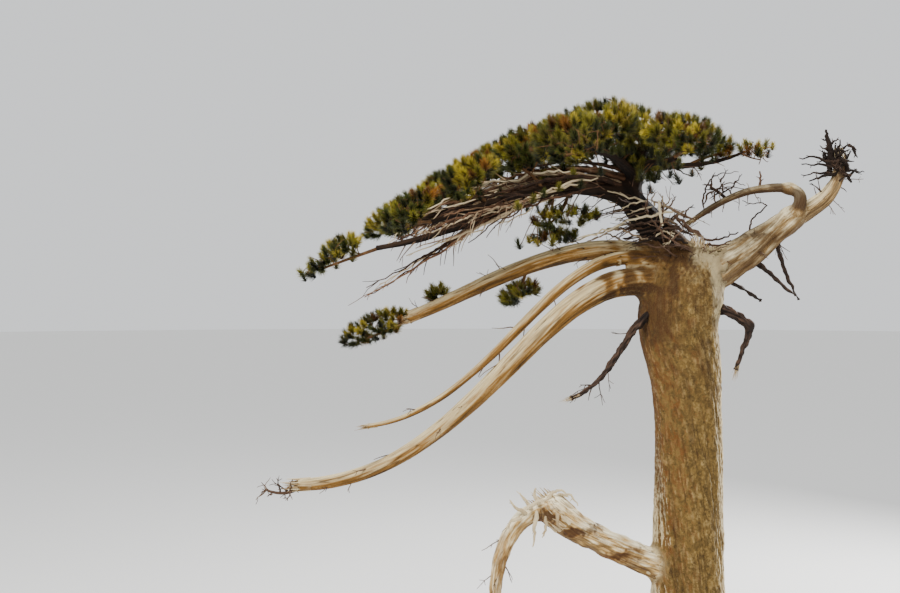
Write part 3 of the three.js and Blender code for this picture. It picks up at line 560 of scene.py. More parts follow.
SIZES = {row[0]: Sizes(*row) for row in LIMB_TABLE}
LIMBS = grow_limbs()
MASSES = [made for row in CROWN_ROWS for made in make_row(row)]
MASSES += [make_lower_mass(row) for row in LOWER_MASSES + BARE_MASSES]
SAMPLE_SHARES = np.linspace(0, 1, LIMB_SAMPLES + 1)
SAMPLE_POINTS = np.concatenate([[made.point(share) for share in SAMPLE_SHARES] for made in LIMBS.values()])
SAMPLE_RADII = np.concatenate([made.radius_at(SAMPLE_SHARES) for made in LIMBS.values()])


def are_free(points, own):
    """Which points are in their mass's own space and clear of every limb."""
    points = np.atleast_2d(points)
    depth = own.depth(points)
    good = depth <= 1
    for other in MASSES:
        if other is not own:
            good &= other.depth(points) >= depth + SPACE_MARGIN
    gaps = np.linalg.norm(points[:, None] - SAMPLE_POINTS, axis=2) - SAMPLE_RADII
    return good & (gaps.min(axis=1) > LIMB_MARGIN)


def stem_of(own):
    """The stem of a mass: it starts in its bough, bends toward the mass's underside and ends inside it."""
    radius = min(STEM_RADIUS, STEM_THICKEST * own.bough.radius_at(own.at))
    sunk = 2 * radius if own.at == 1 else 0
    root = own.bough.point(own.at) - own.bough.tangent(own.at) * sunk
    elbow = root + (own.place((0, 0, UNDERSIDE)) - root) * ELBOW_SHARE
    ahead, above = BARE_STEM_END if own.twigs else STEM_END
    made = Limb("stem", bezier((root, elbow, own.place((ahead, 0, above)))), None)
    made.radius_at = lambda share: radius * (1 - (1 - STEM_TAPER) * share)
    return made


def spray_length(own, reach=math.inf):
    """A spray is shorter where its mass is shallow or its twig is short."""
    return min(SPRAY_LENGTH, SPRAY_SHARE * own.half[2], SPRAY_REACH * reach)


def spread_tips(own, count, skirt, depth, spacing, draw, taken=()):
    """Places for tips: even all round a shell of the mass's space by the golden angle, few underneath."""
    k = np.arange(count)
    level = 1 - (1 + skirt) * (k + 0.5) / count
    ring = np.sqrt(1 - level * level)
    angle = k * GOLDEN_ANGLE + np.array([draw() - 0.5 for _ in k])
    places = own.place(depth * np.column_stack((ring * np.cos(angle), ring * np.sin(angle), level)))
    kept = list(taken)
    for place in places[are_free(places, own)]:
        if not kept or np.linalg.norm(np.array(kept) - place, axis=1).min() > spacing:
            kept.append(place)
    return kept[len(taken):]


class Fork:
    """A place on the wood where a twig may start."""

    def __init__(self, point, path, radius):
        self.point, self.path, self.radius, self.load = point, path, radius, 0


class Shoot:
    """A twig from a fork to a tip, with the points that it must keep clear."""

    def __init__(self, own, fork, tip, spin):
        self.fork, self.root, self.tip = fork, fork.point, tip
        self.root_radius = ROOT_SHARE * fork.radius
        reach = np.linalg.norm(tip - fork.point)
        direction = (tip - fork.point) / reach
        spray = spray_length(own, reach)
        self.bare_share = 1 if own.twigs else 1 - spray / reach
        end_radius = 0 if own.twigs else TWIG_RADIUS
        along = [fork.point + (tip - fork.point) * share for share in TWIG_FORKS]
        self.forks = [
            Fork(point, fork.path + share * reach,
                 self.root_radius + (end_radius - self.root_radius) * share / self.bare_share)
            for share, point in zip(TWIG_FORKS, along)
            if share < self.bare_share
        ]
        self.reached = along + [tip]
        if not own.twigs:
            self.reached += self.rim(direction, spray, spin)

    def rim(self, direction, spray, spin):
        """The spray's teeth and valleys and the end of the bare twig, as points."""
        side, across = square_to(direction)
        points = []
        for j in range(2 * SPRAY_TEETH):
            angle = spin + math.pi * j / SPRAY_TEETH
            size = SPRAY_SLIMNESS * spray * (VALLEY_WIDTH if j % 2 else 1)
            back = RIM_BACK + (VALLEY_DEPTH if j % 2 else 0)
            ring = side * math.cos(angle) + across * math.sin(angle)
            points.append(self.tip - direction * back * spray + ring * size)
        for j in range(TWIG_CORNERS):
            angle = spin + 2 * math.pi * j / TWIG_CORNERS
            ring = side * math.cos(angle) + across * math.sin(angle)
            points.append(self.tip - direction * spray + ring * TWIG_RADIUS)
        return points


def grow_coarse(own, seed):
    """A mass's stem and its main shoots, one toward each spray of the source."""
    draw = random_from(seed)
    stem = stem_of(own)
    wood = [Fork(stem.point(share), share * stem.length, stem.radius_at(share)) for share in STEM_FORKS]
    spacing = BARE_SPACING if own.twigs else SPRAY_SPACING * spray_length(own)
    tips = spread_tips(own, CANDIDATES, BARE_SKIRT if own.twigs else SKIRT, TIP_DEPTH, spacing, draw)
    if own.twigs:
        tips = tips[: own.twigs]
    tips.sort(key=lambda tip: np.linalg.norm(tip - wood[0].point))
    shoots = []
    for tip in tips:
        spin = draw() * math.pi
        best = sorted(wood, key=lambda fork: fork_cost(fork, tip))[:FORKS_TRIED]
        tried = (Shoot(own, fork, tip, spin) for fork in best)
        shoot = next((shoot for shoot in tried if are_free(shoot.reached, own).all()), None)
        if shoot is None:
            continue
        shoot.fork.load += 1
        shoots.append(shoot)
        wood += shoot.forks
    return stem, shoots


def fork_cost(fork, tip):
    """How far a twig would have to go from a fork, with what it dislikes added."""
    return np.linalg.norm(fork.point - tip) + PATH_WEIGHT * fork.path + CROWDING * fork.load


# How a skin is laid over limbs. A pair is a stretch over which something goes from nothing to all
FILLET = 0.070  # how far from a crease two limbs start to flow together
TRUNK_FILLET = 0.170  # the same where a limb leaves the trunk
STUMP_LENGTH = 0.46  # how much of a limb beyond the trunk's side the trunk's skin covers
STUMP_SINK = (0.08, 0.35)  # how far that start thins on its way and at its end, below the limb's own skin
STUMP_THIN = (0.5, 0.85)
STUMP_THINNEST = (0.84, 1)
SETTLING = 4  # how often a skin is evened out and laid back on its limbs
EVENING = 0.5
FAR_SQUARES = 3  # a point this many squares and fillets from its limbs is left where it is
FAR_FILLETS = 0.5
TUBE_SIDES = 40
TUBE_STEP = 8
ON_GROUND = 0.8  # a point lower than this share of a square lies on the ground
APPROACHES = 3  # steps in which a point's place along a limb is found
GRAIN_APART = 7.3  # the grain of the next limb starts this much farther on, so no two look alike
WHOLE = -9.0  # stands for how far a point is past a broken end where there is none
TWIST = 0.35  # how far the grain turns round a limb in a metre
SNAG_TWIST = 0.5

# Broken ends, and the ragged lip of bark round bare wood. A grain has noise's width and its length
BREAK_FADE = (0, 0.08)  # the relief's stretch before a broken end
BREAK_RELIEF = 0.3  # how much of it is left there
END_RIM = 0.012  # how far before its end a broken limb starts to be torn
TORN = 0.32  # how rough a broken end is, as a share of its radius
TORN_RADIUS = 0.11  # the most that counts
TORN_FINE_GRAIN = (0.022, 0.05)
TORN_BROAD_GRAIN = (0.05, 0.09)
TORN_SHIFT = 9
BROAD_SHARE = 0.6
TORN_ABOVE = 0.2  # no end under this height is torn
LIP_SINK = 0.050  # how far bark sinks at the lip
LIP_WAVER = 0.45  # how ragged the lip is, as a share of the stump
LIP_STRETCH = (0.50, 0.80)
LIP_GRAIN = (0.07, 0.12)

# Where the trunk's skin changes from scaly bark to combed bark and to bare wood
COMBED_STRETCH = (-0.10, 0.12)
COMBED_TOP = (4.50, 5.25)
COMBED_MOST = 0.15
BARE_STRETCH = (-0.05, 0.15)
STUB_HEIGHT = (5.12, 5.32)  # the broken top is bare from here up, on its right
STUB_SIDE = (-0.12, -0.02)
STUB_STRETCH = (-0.05, 0.05)
STUB_WAVER = 0.10
RIM_SIDE = (0.64, 0.71)  # so is the right rim under it, past a leaning line
RIM_HEIGHT = (4.35, 4.60)
RIM_LEAN = 0.10
RIM_WAVER = 0.06
RIM_MOST = 0.85

# Creases between limbs are calmer, and painted darker as painted shade
CREASE = (0.004, 0.045)
CREASE_CALM = 0.8
CREASE_PAINTED_SHADE = 0.6
CREASE_DEPTH = (0.05, 0.22)  # as shares of the fillet

# How the relief is made of noise, whose values are mostly well under 1
NOISE_GAIN = 1.6
THICK_LIMB = 0.16  # a thinner limb has shallower flutes and splits, down to a least share
LEAST_FLUTE = 0.2
WANDER_SHIFTS = (3.1, 17.7)  # how the borders of plates stray
WANDER_SIZE = 1.5
WANDER_REACH = 0.5
SEAM = (0.03, 0.30)
PLATE_RISE = 0.5
PLATE_VARIETY = 0.6
SPLIT_SHIFT = 40
SPLIT_WIDTH = (0.02, 0.15)
BREAK_SHIFT = 70
BREAK_WIDTH = 3
BREAK_STRETCH = (-0.1, 0.25)
SPLIT_DARK = 1.3
RIDGE_LIGHT = 0.9
FLUTE_LIGHT = 0.5

# Painted rim light: the sides that face left and right are painted paler, more on the right, and on the left
# less high up
RIGHT_RIM_LIGHT = 1.12
LEFT_RIM_LIGHT_FALL = 0.3
LEFT_RIM_LIGHT_HEIGHT = (1.6, 3.4)

# Sizes of the squares of the dead limbs' skins
DEAD_LIMB_DETAIL = 0.0095
DEAD_BRANCH_DETAIL = 0.0074

# Each relief has its flutes, ridges, plates and splits: a width across the grain, a length along it and a
# depth, in metres. The last number is how dark its seams are
TRUNK_RELIEF = ((0.17, 1.9, 0.016), (0.028, 0.13, 0.0042), (0.04, 0.08, 0.0058), (0.12, 1.6, 0.007), 0.5)
CROWN_RELIEF = ((0.055, 0.32, 0.014), (0.018, 0.2, 0.0035), (0.03, 0.09, 0.003), (0.05, 0.5, 0.005), 0.4)
BOUGH_RELIEF = ((0.085, 1.2, 0.011), (0.02, 0.4, 0.003), (0.036, 0.3, 0.001), (0.06, 1.1, 0.006), 0.0)
SNAG_RELIEF = ((0.1, 0.34, 0.027), (0.02, 0.45, 0.003), (0.05, 0.4, 0.0005), (0.08, 1.1, 0.01), 0.0)
DEAD_RELIEF = ((0.06, 0.16, 0.017), (0.02, 0.16, 0.0035), (0.03, 0.12, 0.002), (0.05, 0.6, 0.006), 0.1)
SPIKE_RELIEF = ((0.03, 0.075, 0.06), (0.016, 0.1, 0.004), (0.03, 0.08, 0.002), (0.03, 0.3, 0.01), 0.2)

# Where wood or bark is painted dark, by stains and by painted shade (on the trunk's top, the upper trunk and
# the boughs' starts under the crown): from a share of the limb, full at another, and how much
STAINS_AND_PAINTED_SHADE = {
    "trunk": (0.62, 0.98, 0.50),
    "upper_trunk": (-0.30, 0.10, 1.0),
    "bough_low": (0.28, 0.08, 0.75),
    "bough_middle": (0.25, 0.05, 0.75),
    "bough_high": (0.27, 0.07, 0.60),
    "right_limb": (-1.0, 0.3, 0.60),
    "right_snag": (0.50, 0.95, 0.95),
    "arch_rise": (-0.3, 0.4, 1.0),
    "arch_return": (-0.8, -0.2, 0.85),
    "dead_limb_hanging": (-0.5, 0.8, 0.35),
}

STAIN_AND_PAINTED_SHADE_PATCH = 0.16
STAIN_AND_PAINTED_SHADE_WAVER = 0.9
STAIN_AND_PAINTED_SHADE_STRETCH = (0.2, 0.9)
STAIN_AND_PAINTED_SHADE_BORDER = (-0.03, 0.09)
STAIN_AND_PAINTED_SHADE_BORDER_WAVER = 0.05

# Dark spots, partly stains and partly painted shade, such as the shadow in the hollow at the trunk's top: x,
# z, how far along x and z, how much
STAIN_AND_PAINTED_SHADE_SPOTS = (
    (-0.22, 5.36, 0.31, 0.25, 1.0),
    (-0.27, 5.02, 0.070, 0.30, 1.0),
    (-0.52, 4.93, 0.36, 0.09, 1.0),
    (-0.44, 4.62, 0.24, 0.38, 0.9),
    (-0.26, 4.26, 0.06, 0.06, 0.8),
    (0.62, 5.58, 0.32, 0.06, 0.8),
    (1.28, 6.02, 0.07, 0.16, 1.0),
    (0.95, 6.10, 0.16, 0.04, 0.8),
    (1.73, 6.30, 0.09, 0.13, 0.8),
    (-1.78, 2.32, 0.16, 0.12, 0.9),
    (-1.40, 2.14, 0.34, 0.07, 0.9),
    (-0.82, 1.82, 0.30, 0.10, 0.75),
    (-2.28, 1.60, 0.12, 0.50, 0.6),
)

SPOT_STRETCH = (0.35, 1.25)
SPOT_GRAIN = (0.035, 0.05)

# Knots on the trunk: height, side in degrees from +X, radius and how far it stands out
KNOTS = (
    (4.25, -128, 0.060, 0.020),
    (3.60, -70, 0.050, 0.022),
    (2.95, -150, 0.070, 0.030),
    (1.90, -20, 0.080, 0.034),
    (1.15, -75, 0.070, 0.026),
    (3.85, 60, 0.080, 0.034),
    (3.10, 120, 0.060, 0.024),
    (2.20, 85, 0.090, 0.038),
    (1.30, 150, 0.070, 0.028),
    (2.75, 10, 0.055, 0.022),
)

KNOT_FLATNESS = 0.7
KNOT_HOLLOW = 1.25  # how deep its middle is, as a share of its height
HOLLOW_RADIUS = 0.45
KNOT_DARK_RADIUS = 0.5

TRUNK_SKIN = ("trunk",)
TRUNK_STUMPS = ("bough_low", "bough_middle", "bough_high", "right_limb", "upper_trunk", "dead_limb")
BOUGH_SKIN = ("bough_low", "bough_middle", "bough_high")
CROWN_SKIN = ("upper_trunk", "leader") + tuple(name for name in LIMBS if name.startswith("crown_bough"))
SNAG_SKIN = ("right_limb", "right_snag", "arch_rise", "arch_return")
HANGING_SKIN = ("dead_limb", "dead_limb_hanging")
SPIKE_SKIN = ("dead_drop", "hook_arm", "hook_hanging", "dead_spike_near", "dead_spike_far", "dead_stub")


class Part:
    """A limb's share of a skin: the whole limb, or the stump that its parent's skin covers."""

    def __init__(self, made, stump=False):
        self.made = made
        covered = STUMP_LENGTH + trunk_radius(made.line[0][2])
        self.last = min(1, covered / made.length) if stump else 1
        self.sink = STUMP_SINK if stump else (0, 0)
        self.bleached = made.name in ("right_limb", "dead_limb")
        self.stump = stump
        self.broken = stump or not any(
            sizes.parent == made.name and sizes.at == 1 for sizes in SIZES.values())
        self.grain_start = GRAIN_APART * list(LIMBS).index(made.name)

    def radius(self, share, angle):
        """The limb's radius, thinned toward the end of a stump."""
        way, end = self.sink
        along = share / self.last
        thin = 1 - way * smooth(along, *STUMP_THIN) - end * smooth(along, *STUMP_THINNEST)
        return self.made.radius(share, angle) * thin

    def tube(self, extra):
        """A closed tube of rings, thicker than the limb by a little, as points and faces."""
        end = int(self.last * LINE_STEPS)
        steps = np.unique(np.append(np.arange(0, end, TUBE_STEP), end))
        angles = np.arange(TUBE_SIDES) * 2 * math.pi / TUBE_SIDES
        across = np.cross(self.made.tangents, self.made.normals)
        rings = []
        for i in steps:
            radii = np.broadcast_to(self.radius(i / LINE_STEPS, angles) + extra, TUBE_SIDES)[:, None]
            ring = self.made.normals[i] * np.cos(angles)[:, None] + across[i] * np.sin(angles)[:, None]
            rings.append(self.made.line[i] + ring * radii)
        rings[0] = rings[0] - self.made.tangents[0] * extra
        rings[-1] = rings[-1] + self.made.tangents[end] * extra
        points = np.concatenate(rings)
        j = np.arange(TUBE_SIDES)
        k = (j + 1) % TUBE_SIDES
        faces = []
        for ring in range(len(steps) - 1):
            low, high = ring * TUBE_SIDES, (ring + 1) * TUBE_SIDES
            faces += np.column_stack((low + j, low + k, high + k, high + j)).tolist()
        faces.append(j[::-1].tolist())
        faces.append((j + (len(steps) - 1) * TUBE_SIDES).tolist())
        return points, faces

    def measure(self, points):
        """Where points lie by the limb: share, distance from its surface, offsets across the grain, and how
        far past a broken end."""
        made = self.made
        coarse = made.line[::TUBE_STEP]
        gaps = (coarse**2).sum(axis=1) - 2 * points @ coarse.T
        step = gaps.argmin(axis=1).astype(float) * TUBE_STEP
        last = self.last * LINE_STEPS
        for _ in range(APPROACHES):
            i = np.clip(step.astype(int), 0, LINE_STEPS - 1)
            part = (step - i)[:, None]
            axis = made.line[i] + (made.line[i + 1] - made.line[i]) * part
            free_step = step + ((points - axis) * made.tangents[i]).sum(axis=1) * LINE_STEPS / made.length
            step = np.clip(free_step, 0, last)
        offset = points - axis
        normal = made.normals[i]
        across = np.cross(made.tangents[i], normal)
        u, v = (offset * normal).sum(axis=1), (offset * across).sum(axis=1)
        share = step / LINE_STEPS
        past = (free_step - last) * made.length / LINE_STEPS if self.broken else np.full(len(points), WHOLE)
        if made.lobed:
            past = np.maximum(past, -points[:, 2])
        beside = np.where(past > 0, np.hypot(u, v), np.linalg.norm(offset, axis=1))
        beside = beside - self.radius(share, np.arctan2(v, u))
        gap = np.minimum(np.maximum(beside, past), 0) + np.hypot(np.maximum(beside, 0), np.maximum(past, 0))
        return share, gap, np.column_stack((u, v)), past


def new_object(name, mesh):
    """An object for a mesh, in the scene."""
    made = bpy.data.objects.new(name, mesh)
    bpy.context.scene.collection.objects.link(made)
    return made


def voxel_mesh(parts, size, extra):
    """One closed skin of small squares over the parts' tubes, a little thicker than the limbs."""
    points, faces = [], []
    for part in parts:
        start = sum(len(some) for some in points)
        more, ring_faces = part.tube(extra)
        points.append(more)
        faces += [[start + i for i in face] for face in ring_faces]
    mesh = bpy.data.meshes.new("tubes")
    mesh.from_pydata(np.concatenate(points).tolist(), [], faces)
    made = new_object("tubes", mesh)
    remesh = made.modifiers.new("Skin", "REMESH")
    remesh.mode = "VOXEL"
    remesh.voxel_size = size
    depsgraph = bpy.context.evaluated_depsgraph_get()
    skin = bpy.data.meshes.new_from_object(made.evaluated_get(depsgraph))
    bpy.data.objects.remove(made)
    bpy.data.meshes.remove(mesh)
    return skin


def mesh_vectors(mesh, layer, key):
    """A mesh's points or normals as an array."""
    values = np.zeros(len(mesh.vertices) * 3)
    getattr(mesh, layer).foreach_get(key, values)
    return values.reshape(-1, 3)


def move_points(mesh, points):
    """Puts a mesh's points in their new places."""
    mesh.vertices.foreach_set("co", points.ravel())
    mesh.update()


def store(mesh, name, values):
    """Keeps a number or a vector at each point of a mesh, for its material."""
    kind, key = ("FLOAT_VECTOR", "vector") if values.ndim == 2 else ("FLOAT", "value")
    mesh.attributes.new(name, kind, "POINT").data.foreach_set(key, values.astype(np.float32).ravel())


def read_noise(points, width, length):
    """Noise at points in grain coordinates, with a size across the grain and one along it."""
    return np.array([noise.noise(point) for point in (points / (width, width, length)).tolist()])


def read_cells(points, width, length):
    """Cells at points in grain coordinates: how near a border is, and each cell's own number."""
    edges, numbers = [], []
    for point in (points / (width, width, length)).tolist():
        gaps, centres = noise.voronoi(point)
        edges.append(gaps[1] - gaps[0])
        numbers.append(noise.cell(centres[0]))
    return np.array(edges), np.array(numbers)


class Reading:
    """How the points of a skin lie by its parts: all shares and distances, the nearest part with its
    measures, and the distance from the parts flowing together."""

    def __init__(self, parts, points, fillet):
        measures = [part.measure(points) for part in parts]
        self.parts = parts
        self.shares = [measure[0] for measure in measures]
        self.gaps = np.array([measure[1] for measure in measures])
        self.nearest = self.gaps.argmin(axis=0)
        self.gap = self.gaps[0]
        for gap in self.gaps[1:]:
            overlap = np.maximum(fillet - np.abs(self.gap - gap), 0) / fillet
            self.gap = np.minimum(self.gap, gap) - overlap**2 * fillet / 4
        here = np.arange(len(points))
        self.share, self.offsets, self.past = (
            np.array([measure[k] for measure in measures])[self.nearest, here] for k in (0, 2, 3))

    def pick(self, values):
        """The nearest part's value at each point, from one value for each part."""
        return np.array(values)[self.nearest]

    def grain(self, twist):
        """Each point in straightened coordinates: across the limb in two directions, then along it."""
        lengths = self.pick([part.made.length for part in self.parts])
        along = self.share * lengths + self.pick([part.grain_start for part in self.parts])
        turn = twist * self.share * lengths
        u = self.offsets[:, 0] * np.cos(turn) - self.offsets[:, 1] * np.sin(turn)
        v = self.offsets[:, 0] * np.sin(turn) + self.offsets[:, 1] * np.cos(turn)
        return np.column_stack((u, v, along))


def even_out(mesh, points):
    """Points moved part of the way to the middle of their neighbours."""
    ends = np.zeros(len(mesh.edges) * 2, dtype=np.int64)
    mesh.edges.foreach_get("vertices", ends)
    ends = np.concatenate((ends.reshape(-1, 2), ends.reshape(-1, 2)[:, ::-1]))
    count = np.bincount(ends[:, 0], minlength=len(points))[:, None]
    total = np.column_stack([
        np.bincount(ends[:, 0], weights=points[ends[:, 1], k], minlength=len(points)) for k in range(3)])
    return points + (total / count - points) * EVENING


def stain_and_painted_shade_of(reading, points):
    """How dark the stains and the painted shade are at each point of a skin, in patches that fade from limb
    to limb, and in spots.
    """
    patches = read_noise(points, STAIN_AND_PAINTED_SHADE_PATCH, STAIN_AND_PAINTED_SHADE_PATCH)
    dark = np.zeros(len(points))
    for k, part in enumerate(reading.parts):
        first, full, amount = STAINS_AND_PAINTED_SHADE.get(part.made.name, (0, 1, 0))
        level = smooth((reading.shares[k] - first) / (full - first) + STAIN_AND_PAINTED_SHADE_WAVER * patches, *STAIN_AND_PAINTED_SHADE_STRETCH)
        others = np.delete(reading.gaps, k, axis=0).min(axis=0) if len(reading.parts) > 1 else 1.0
        border = smooth(others - reading.gaps[k] + STAIN_AND_PAINTED_SHADE_BORDER_WAVER * patches, *STAIN_AND_PAINTED_SHADE_BORDER)
        dark = np.maximum(dark, amount * level * border)
    rough = 0.5 * patches + 0.5 * read_noise(points, *SPOT_GRAIN)
    for x, z, wide, high, amount in STAIN_AND_PAINTED_SHADE_SPOTS:
        away = np.hypot((points[:, 0] - x) / wide, (points[:, 2] - z) / high)
        dark = np.maximum(dark, amount * (1 - smooth(away + rough, *SPOT_STRETCH)))
    return np.clip(dark, 0, 1)


def knot_relief(points):
    """How far the trunk's knots stand out, and how dark their middles are."""
    rise, dark = np.zeros(len(points)), np.zeros(len(points))
    for height, side, radius, out in KNOTS:
        turn = math.radians(side)
        middle = LIMBS["trunk"].point(height / TRUNK_TOP)
        middle = middle + np.array((math.cos(turn), math.sin(turn), 0)) * trunk_radius(height)
        gap = np.linalg.norm((points - middle) * (1, 1, KNOT_FLATNESS), axis=1) / radius
        rise += out * (np.exp(-(gap**2)) - KNOT_HOLLOW * np.exp(-((gap / HOLLOW_RADIUS) ** 2)))
        dark = np.maximum(dark, np.exp(-((gap / KNOT_DARK_RADIUS) ** 2)))
    return rise, dark


def relief_of(relief, grain, thickness):
    """How far the relief stands out at points in grain coordinates, with its plates, seams, ridges and
    splits."""
    slight = np.clip(thickness / THICK_LIMB, LEAST_FLUTE, 1)
    (flute_width, flute_length, flute_depth), ridge_sizes, plate_sizes, split_sizes, seam_dark = relief
    flutes = read_noise(grain, flute_width, flute_length)
    rise = flutes * flute_depth * slight * NOISE_GAIN
    width, length, depth = ridge_sizes
    ridges = read_noise(grain, width, length)
    rise += ridges * depth * NOISE_GAIN
    width, length, depth = plate_sizes
    wander = np.column_stack([
        read_noise(grain + shift, width * WANDER_SIZE, length * WANDER_SIZE) for shift in WANDER_SHIFTS])
    cells = grain + np.column_stack((wander * width * WANDER_REACH, np.zeros(len(grain))))
    edges, plate = read_cells(cells, width, length)
    seam = 1 - smooth(edges, *SEAM)
    rise += depth * (PLATE_RISE * (1 - seam) + PLATE_VARIETY * (plate - 0.5))
    width, length, depth = split_sizes
    breaks = smooth(read_noise(grain + BREAK_SHIFT, BREAK_WIDTH * width, length), *BREAK_STRETCH)
    split = (1 - smooth(np.abs(read_noise(grain + SPLIT_SHIFT, width, length)), *SPLIT_WIDTH)) * breaks
    rise -= depth * split * slight
    return rise, plate, seam * seam_dark, 0.5 + RIDGE_LIGHT * ridges + FLUTE_LIGHT * flutes, split


def settled(mesh, parts, size, fillet):
    """A rough skin's points, laid on its limbs and evened out between the rounds."""
    points = mesh_vectors(mesh, "vertices", "co")
    for turn in range(SETTLING):
        normals = mesh_vectors(mesh, "vertex_normals", "vector")
        gap = Reading(parts, points, fillet).gap
        near = np.abs(gap) < FAR_SQUARES * size + FAR_FILLETS * fillet
        points = points - normals * (gap * near)[:, None]
        if turn < SETTLING - 1:
            points = even_out(mesh, points)
        move_points(mesh, points)
    return points


def bare_places(reading, points, torn):
    """How bare the trunk's skin is: at the starts of bare limbs, on its broken top and down its right rim."""
    x, z = points[:, 0], points[:, 2]
    trunk_gap, limb_gap = reading.gaps[0], reading.gaps[1:].min(axis=0)
    pale = [gap for part, gap in zip(reading.parts, reading.gaps) if part.bleached]
    bare = smooth(trunk_gap - np.min(pale, axis=0), *BARE_STRETCH)
    stub = smooth(z + STUB_WAVER * torn, *STUB_HEIGHT) * smooth(limb_gap - trunk_gap, *STUB_STRETCH)
    rim = smooth(x + RIM_LEAN * z + RIM_WAVER * torn, *RIM_SIDE) * smooth(z, *RIM_HEIGHT)
    return np.maximum(np.maximum(bare, stub * smooth(x, *STUB_SIDE)), RIM_MOST * rim)


def skin_mesh(parts, size, relief, twist, fillet):
    """A skin over limbs with the relief of its bark or wood, and what its material reads at each point."""
    mesh = voxel_mesh(parts, size, fillet / 4)
    points = settled(mesh, parts, size, fillet)
    normals = mesh_vectors(mesh, "vertex_normals", "vector")
    reading = Reading(parts, points, fillet)
    gaps = reading.gaps
    grain = reading.grain(twist)
    thickness = np.linalg.norm(reading.offsets, axis=1)
    rise, plate, seam, ridge, split = relief_of(relief, grain, thickness)
    torn = read_noise(points, *TORN_FINE_GRAIN)
    torn = torn + BROAD_SHARE * read_noise(points + TORN_SHIFT, *TORN_BROAD_GRAIN)
    dark, bleached, combed = np.zeros(len(points)), np.zeros(len(points)), np.ones(len(points))
    if parts[0].made.lobed:
        combed = smooth(gaps[0] - gaps[1:].min(axis=0), *COMBED_STRETCH)
        fine_rise, _, _, fine_ridge, fine_split = relief_of(BOUGH_RELIEF, grain, thickness)
        rise, ridge, split = (
            rough + (fine - rough) * combed
            for rough, fine in ((rise, fine_rise), (ridge, fine_ridge), (split, fine_split)))
        seam = seam * (1 - combed)
        knots, dark = knot_relief(points)
        rise += knots
        bleached = bare_places(reading, points, torn)
        lip = reading.share / reading.pick([part.last for part in parts])
        lip += LIP_WAVER * read_noise(points, *LIP_GRAIN)
        rise -= LIP_SINK * smooth(lip, *LIP_STRETCH) * reading.pick([part.bleached for part in parts])
        combed = np.maximum(combed, COMBED_MOST * smooth(points[:, 2], *COMBED_TOP))
    if len(parts) > 1:
        others = np.sort(gaps, axis=0)
        crease = 1 - smooth(others[1] - others[0], *CREASE)
        rise *= 1 - CREASE_CALM * crease
        deep = smooth(others[0] - reading.gap, *(share * fillet for share in CREASE_DEPTH))
        # Painted shade in the creases between limbs
        dark = np.maximum(dark, CREASE_PAINTED_SHADE * crease * deep)
    at_end = reading.past > -END_RIM
    to_end = (1 - reading.share) * reading.pick([part.made.length for part in parts])
    left = BREAK_RELIEF + (1 - BREAK_RELIEF) * smooth(to_end, *BREAK_FADE)
    rise *= np.where(at_end, BREAK_RELIEF, left)
    ends = reading.pick([0 if part.stump else part.made.radius(part.last) for part in parts])
    jagged = torn * TORN * np.minimum(ends, TORN_RADIUS)
    rise += np.where(at_end & (points[:, 2] > TORN_ABOVE), jagged, 0)
    points = points + normals * rise[:, None]
    if points[:, 2].min() < size:
        points[:, 2] = np.where(points[:, 2] < ON_GROUND * size, 0, points[:, 2])
    move_points(mesh, points)
    normals = mesh_vectors(mesh, "vertex_normals", "vector")
    left_rim_light = 1 - LEFT_RIM_LIGHT_FALL * smooth(points[:, 2], *LEFT_RIM_LIGHT_HEIGHT)
    for name, values in {
        "grain": grain,
        "plate": plate,
        "crack": np.clip(np.maximum(seam, np.maximum(SPLIT_DARK * split, dark)), 0, 1),
        "ridge": np.clip(ridge, 0, 1),
        # Painted light and shade: 1 where a point faces up and 0 where it faces down, for paler tops and
        # darker undersides
        "weather": np.clip(0.5 + 0.5 * normals[:, 2], 0, 1),
        "lee": np.clip(0.5 - 0.5 * normals[:, 0], 0, 1),
        # Painted rim light: how far a point faces left or right, so that those edges are painted paler
        "flank": np.abs(normals[:, 0]) * np.where(normals[:, 0] < 0, left_rim_light, RIGHT_RIM_LIGHT),
        "combed": combed,
        "bleached": bleached,
        "stain": stain_and_painted_shade_of(reading, points),
    }.items():
        store(mesh, name, values)
    mesh.shade_smooth()
    return mesh


# Finer twigs and tufts, inside the reach of the source's masses. A pair that goes to the function drawn is
# the least and how much more there may be by chance
# How deep a shell of tufts lies, how far apart they are, and how far it goes round below
SHELLS = ((0.98, 0.102, 0.60), (0.80, 0.115, 0.80), (0.52, 0.140, 0.80))
FINE_CANDIDATES = 520
CLUMP_SIZE = 0.26  # tufts gather in clumps about this far apart
CLUMP_GAP = -0.18  # a lower level leaves fewer gaps between clumps
CLUMP_TOP = 0.25  # from this level up the surface doesn't sink
SMALL_MASS = 0.40  # a mass with a smaller half width than this has fewer gaps
SMALL_MASS_EASE = 0.12
CLUMP_SAG = 0.12  # how far the surface sinks between clumps, as a share of the depth
TUFT_STEP = 0.075  # length of a shoot's end that bears needles
TUFT_BACK = 0.068  # how far the needles of a shoot's end reach past it
TUFT_OUT = 0.5  # what a tuft's aim is made of: out of its mass, up, on from its twig, downwind and chance
TUFT_RISE = 0.55
TUFT_ON = 0.35
TUFT_LEAN = (-0.16, 0.0, 0.0)
TUFT_CHANCE = 0.25
LEAST_TUFT = 0.84
TUFT_VARIETY = 0.3
FINE_FORKS = (0.45, 0.75)
FINE_RADIUS = 0.0075
FINE_SHARE = 0.8  # a finer twig's thickness at its foot and at its forks, as a share of what bears it
FINE_SWELL = 0.001
LEAST_RADIUS = 0.006
FINE_TIP_RADIUS = 0.004
DEAD_TIP_RADIUS = 0.003
FINE_CROWDING = 0.030
LIVING_TONE = 0.25
LONE_TONE = 0.3
UNDER_TONE = 0.2
TWIG_BEND = 0.07  # how far a main shoot bows to one side, as a share of its reach
TWIG_GRIP = 0.38  # how far a twig keeps its first and last direction, as a share of its reach
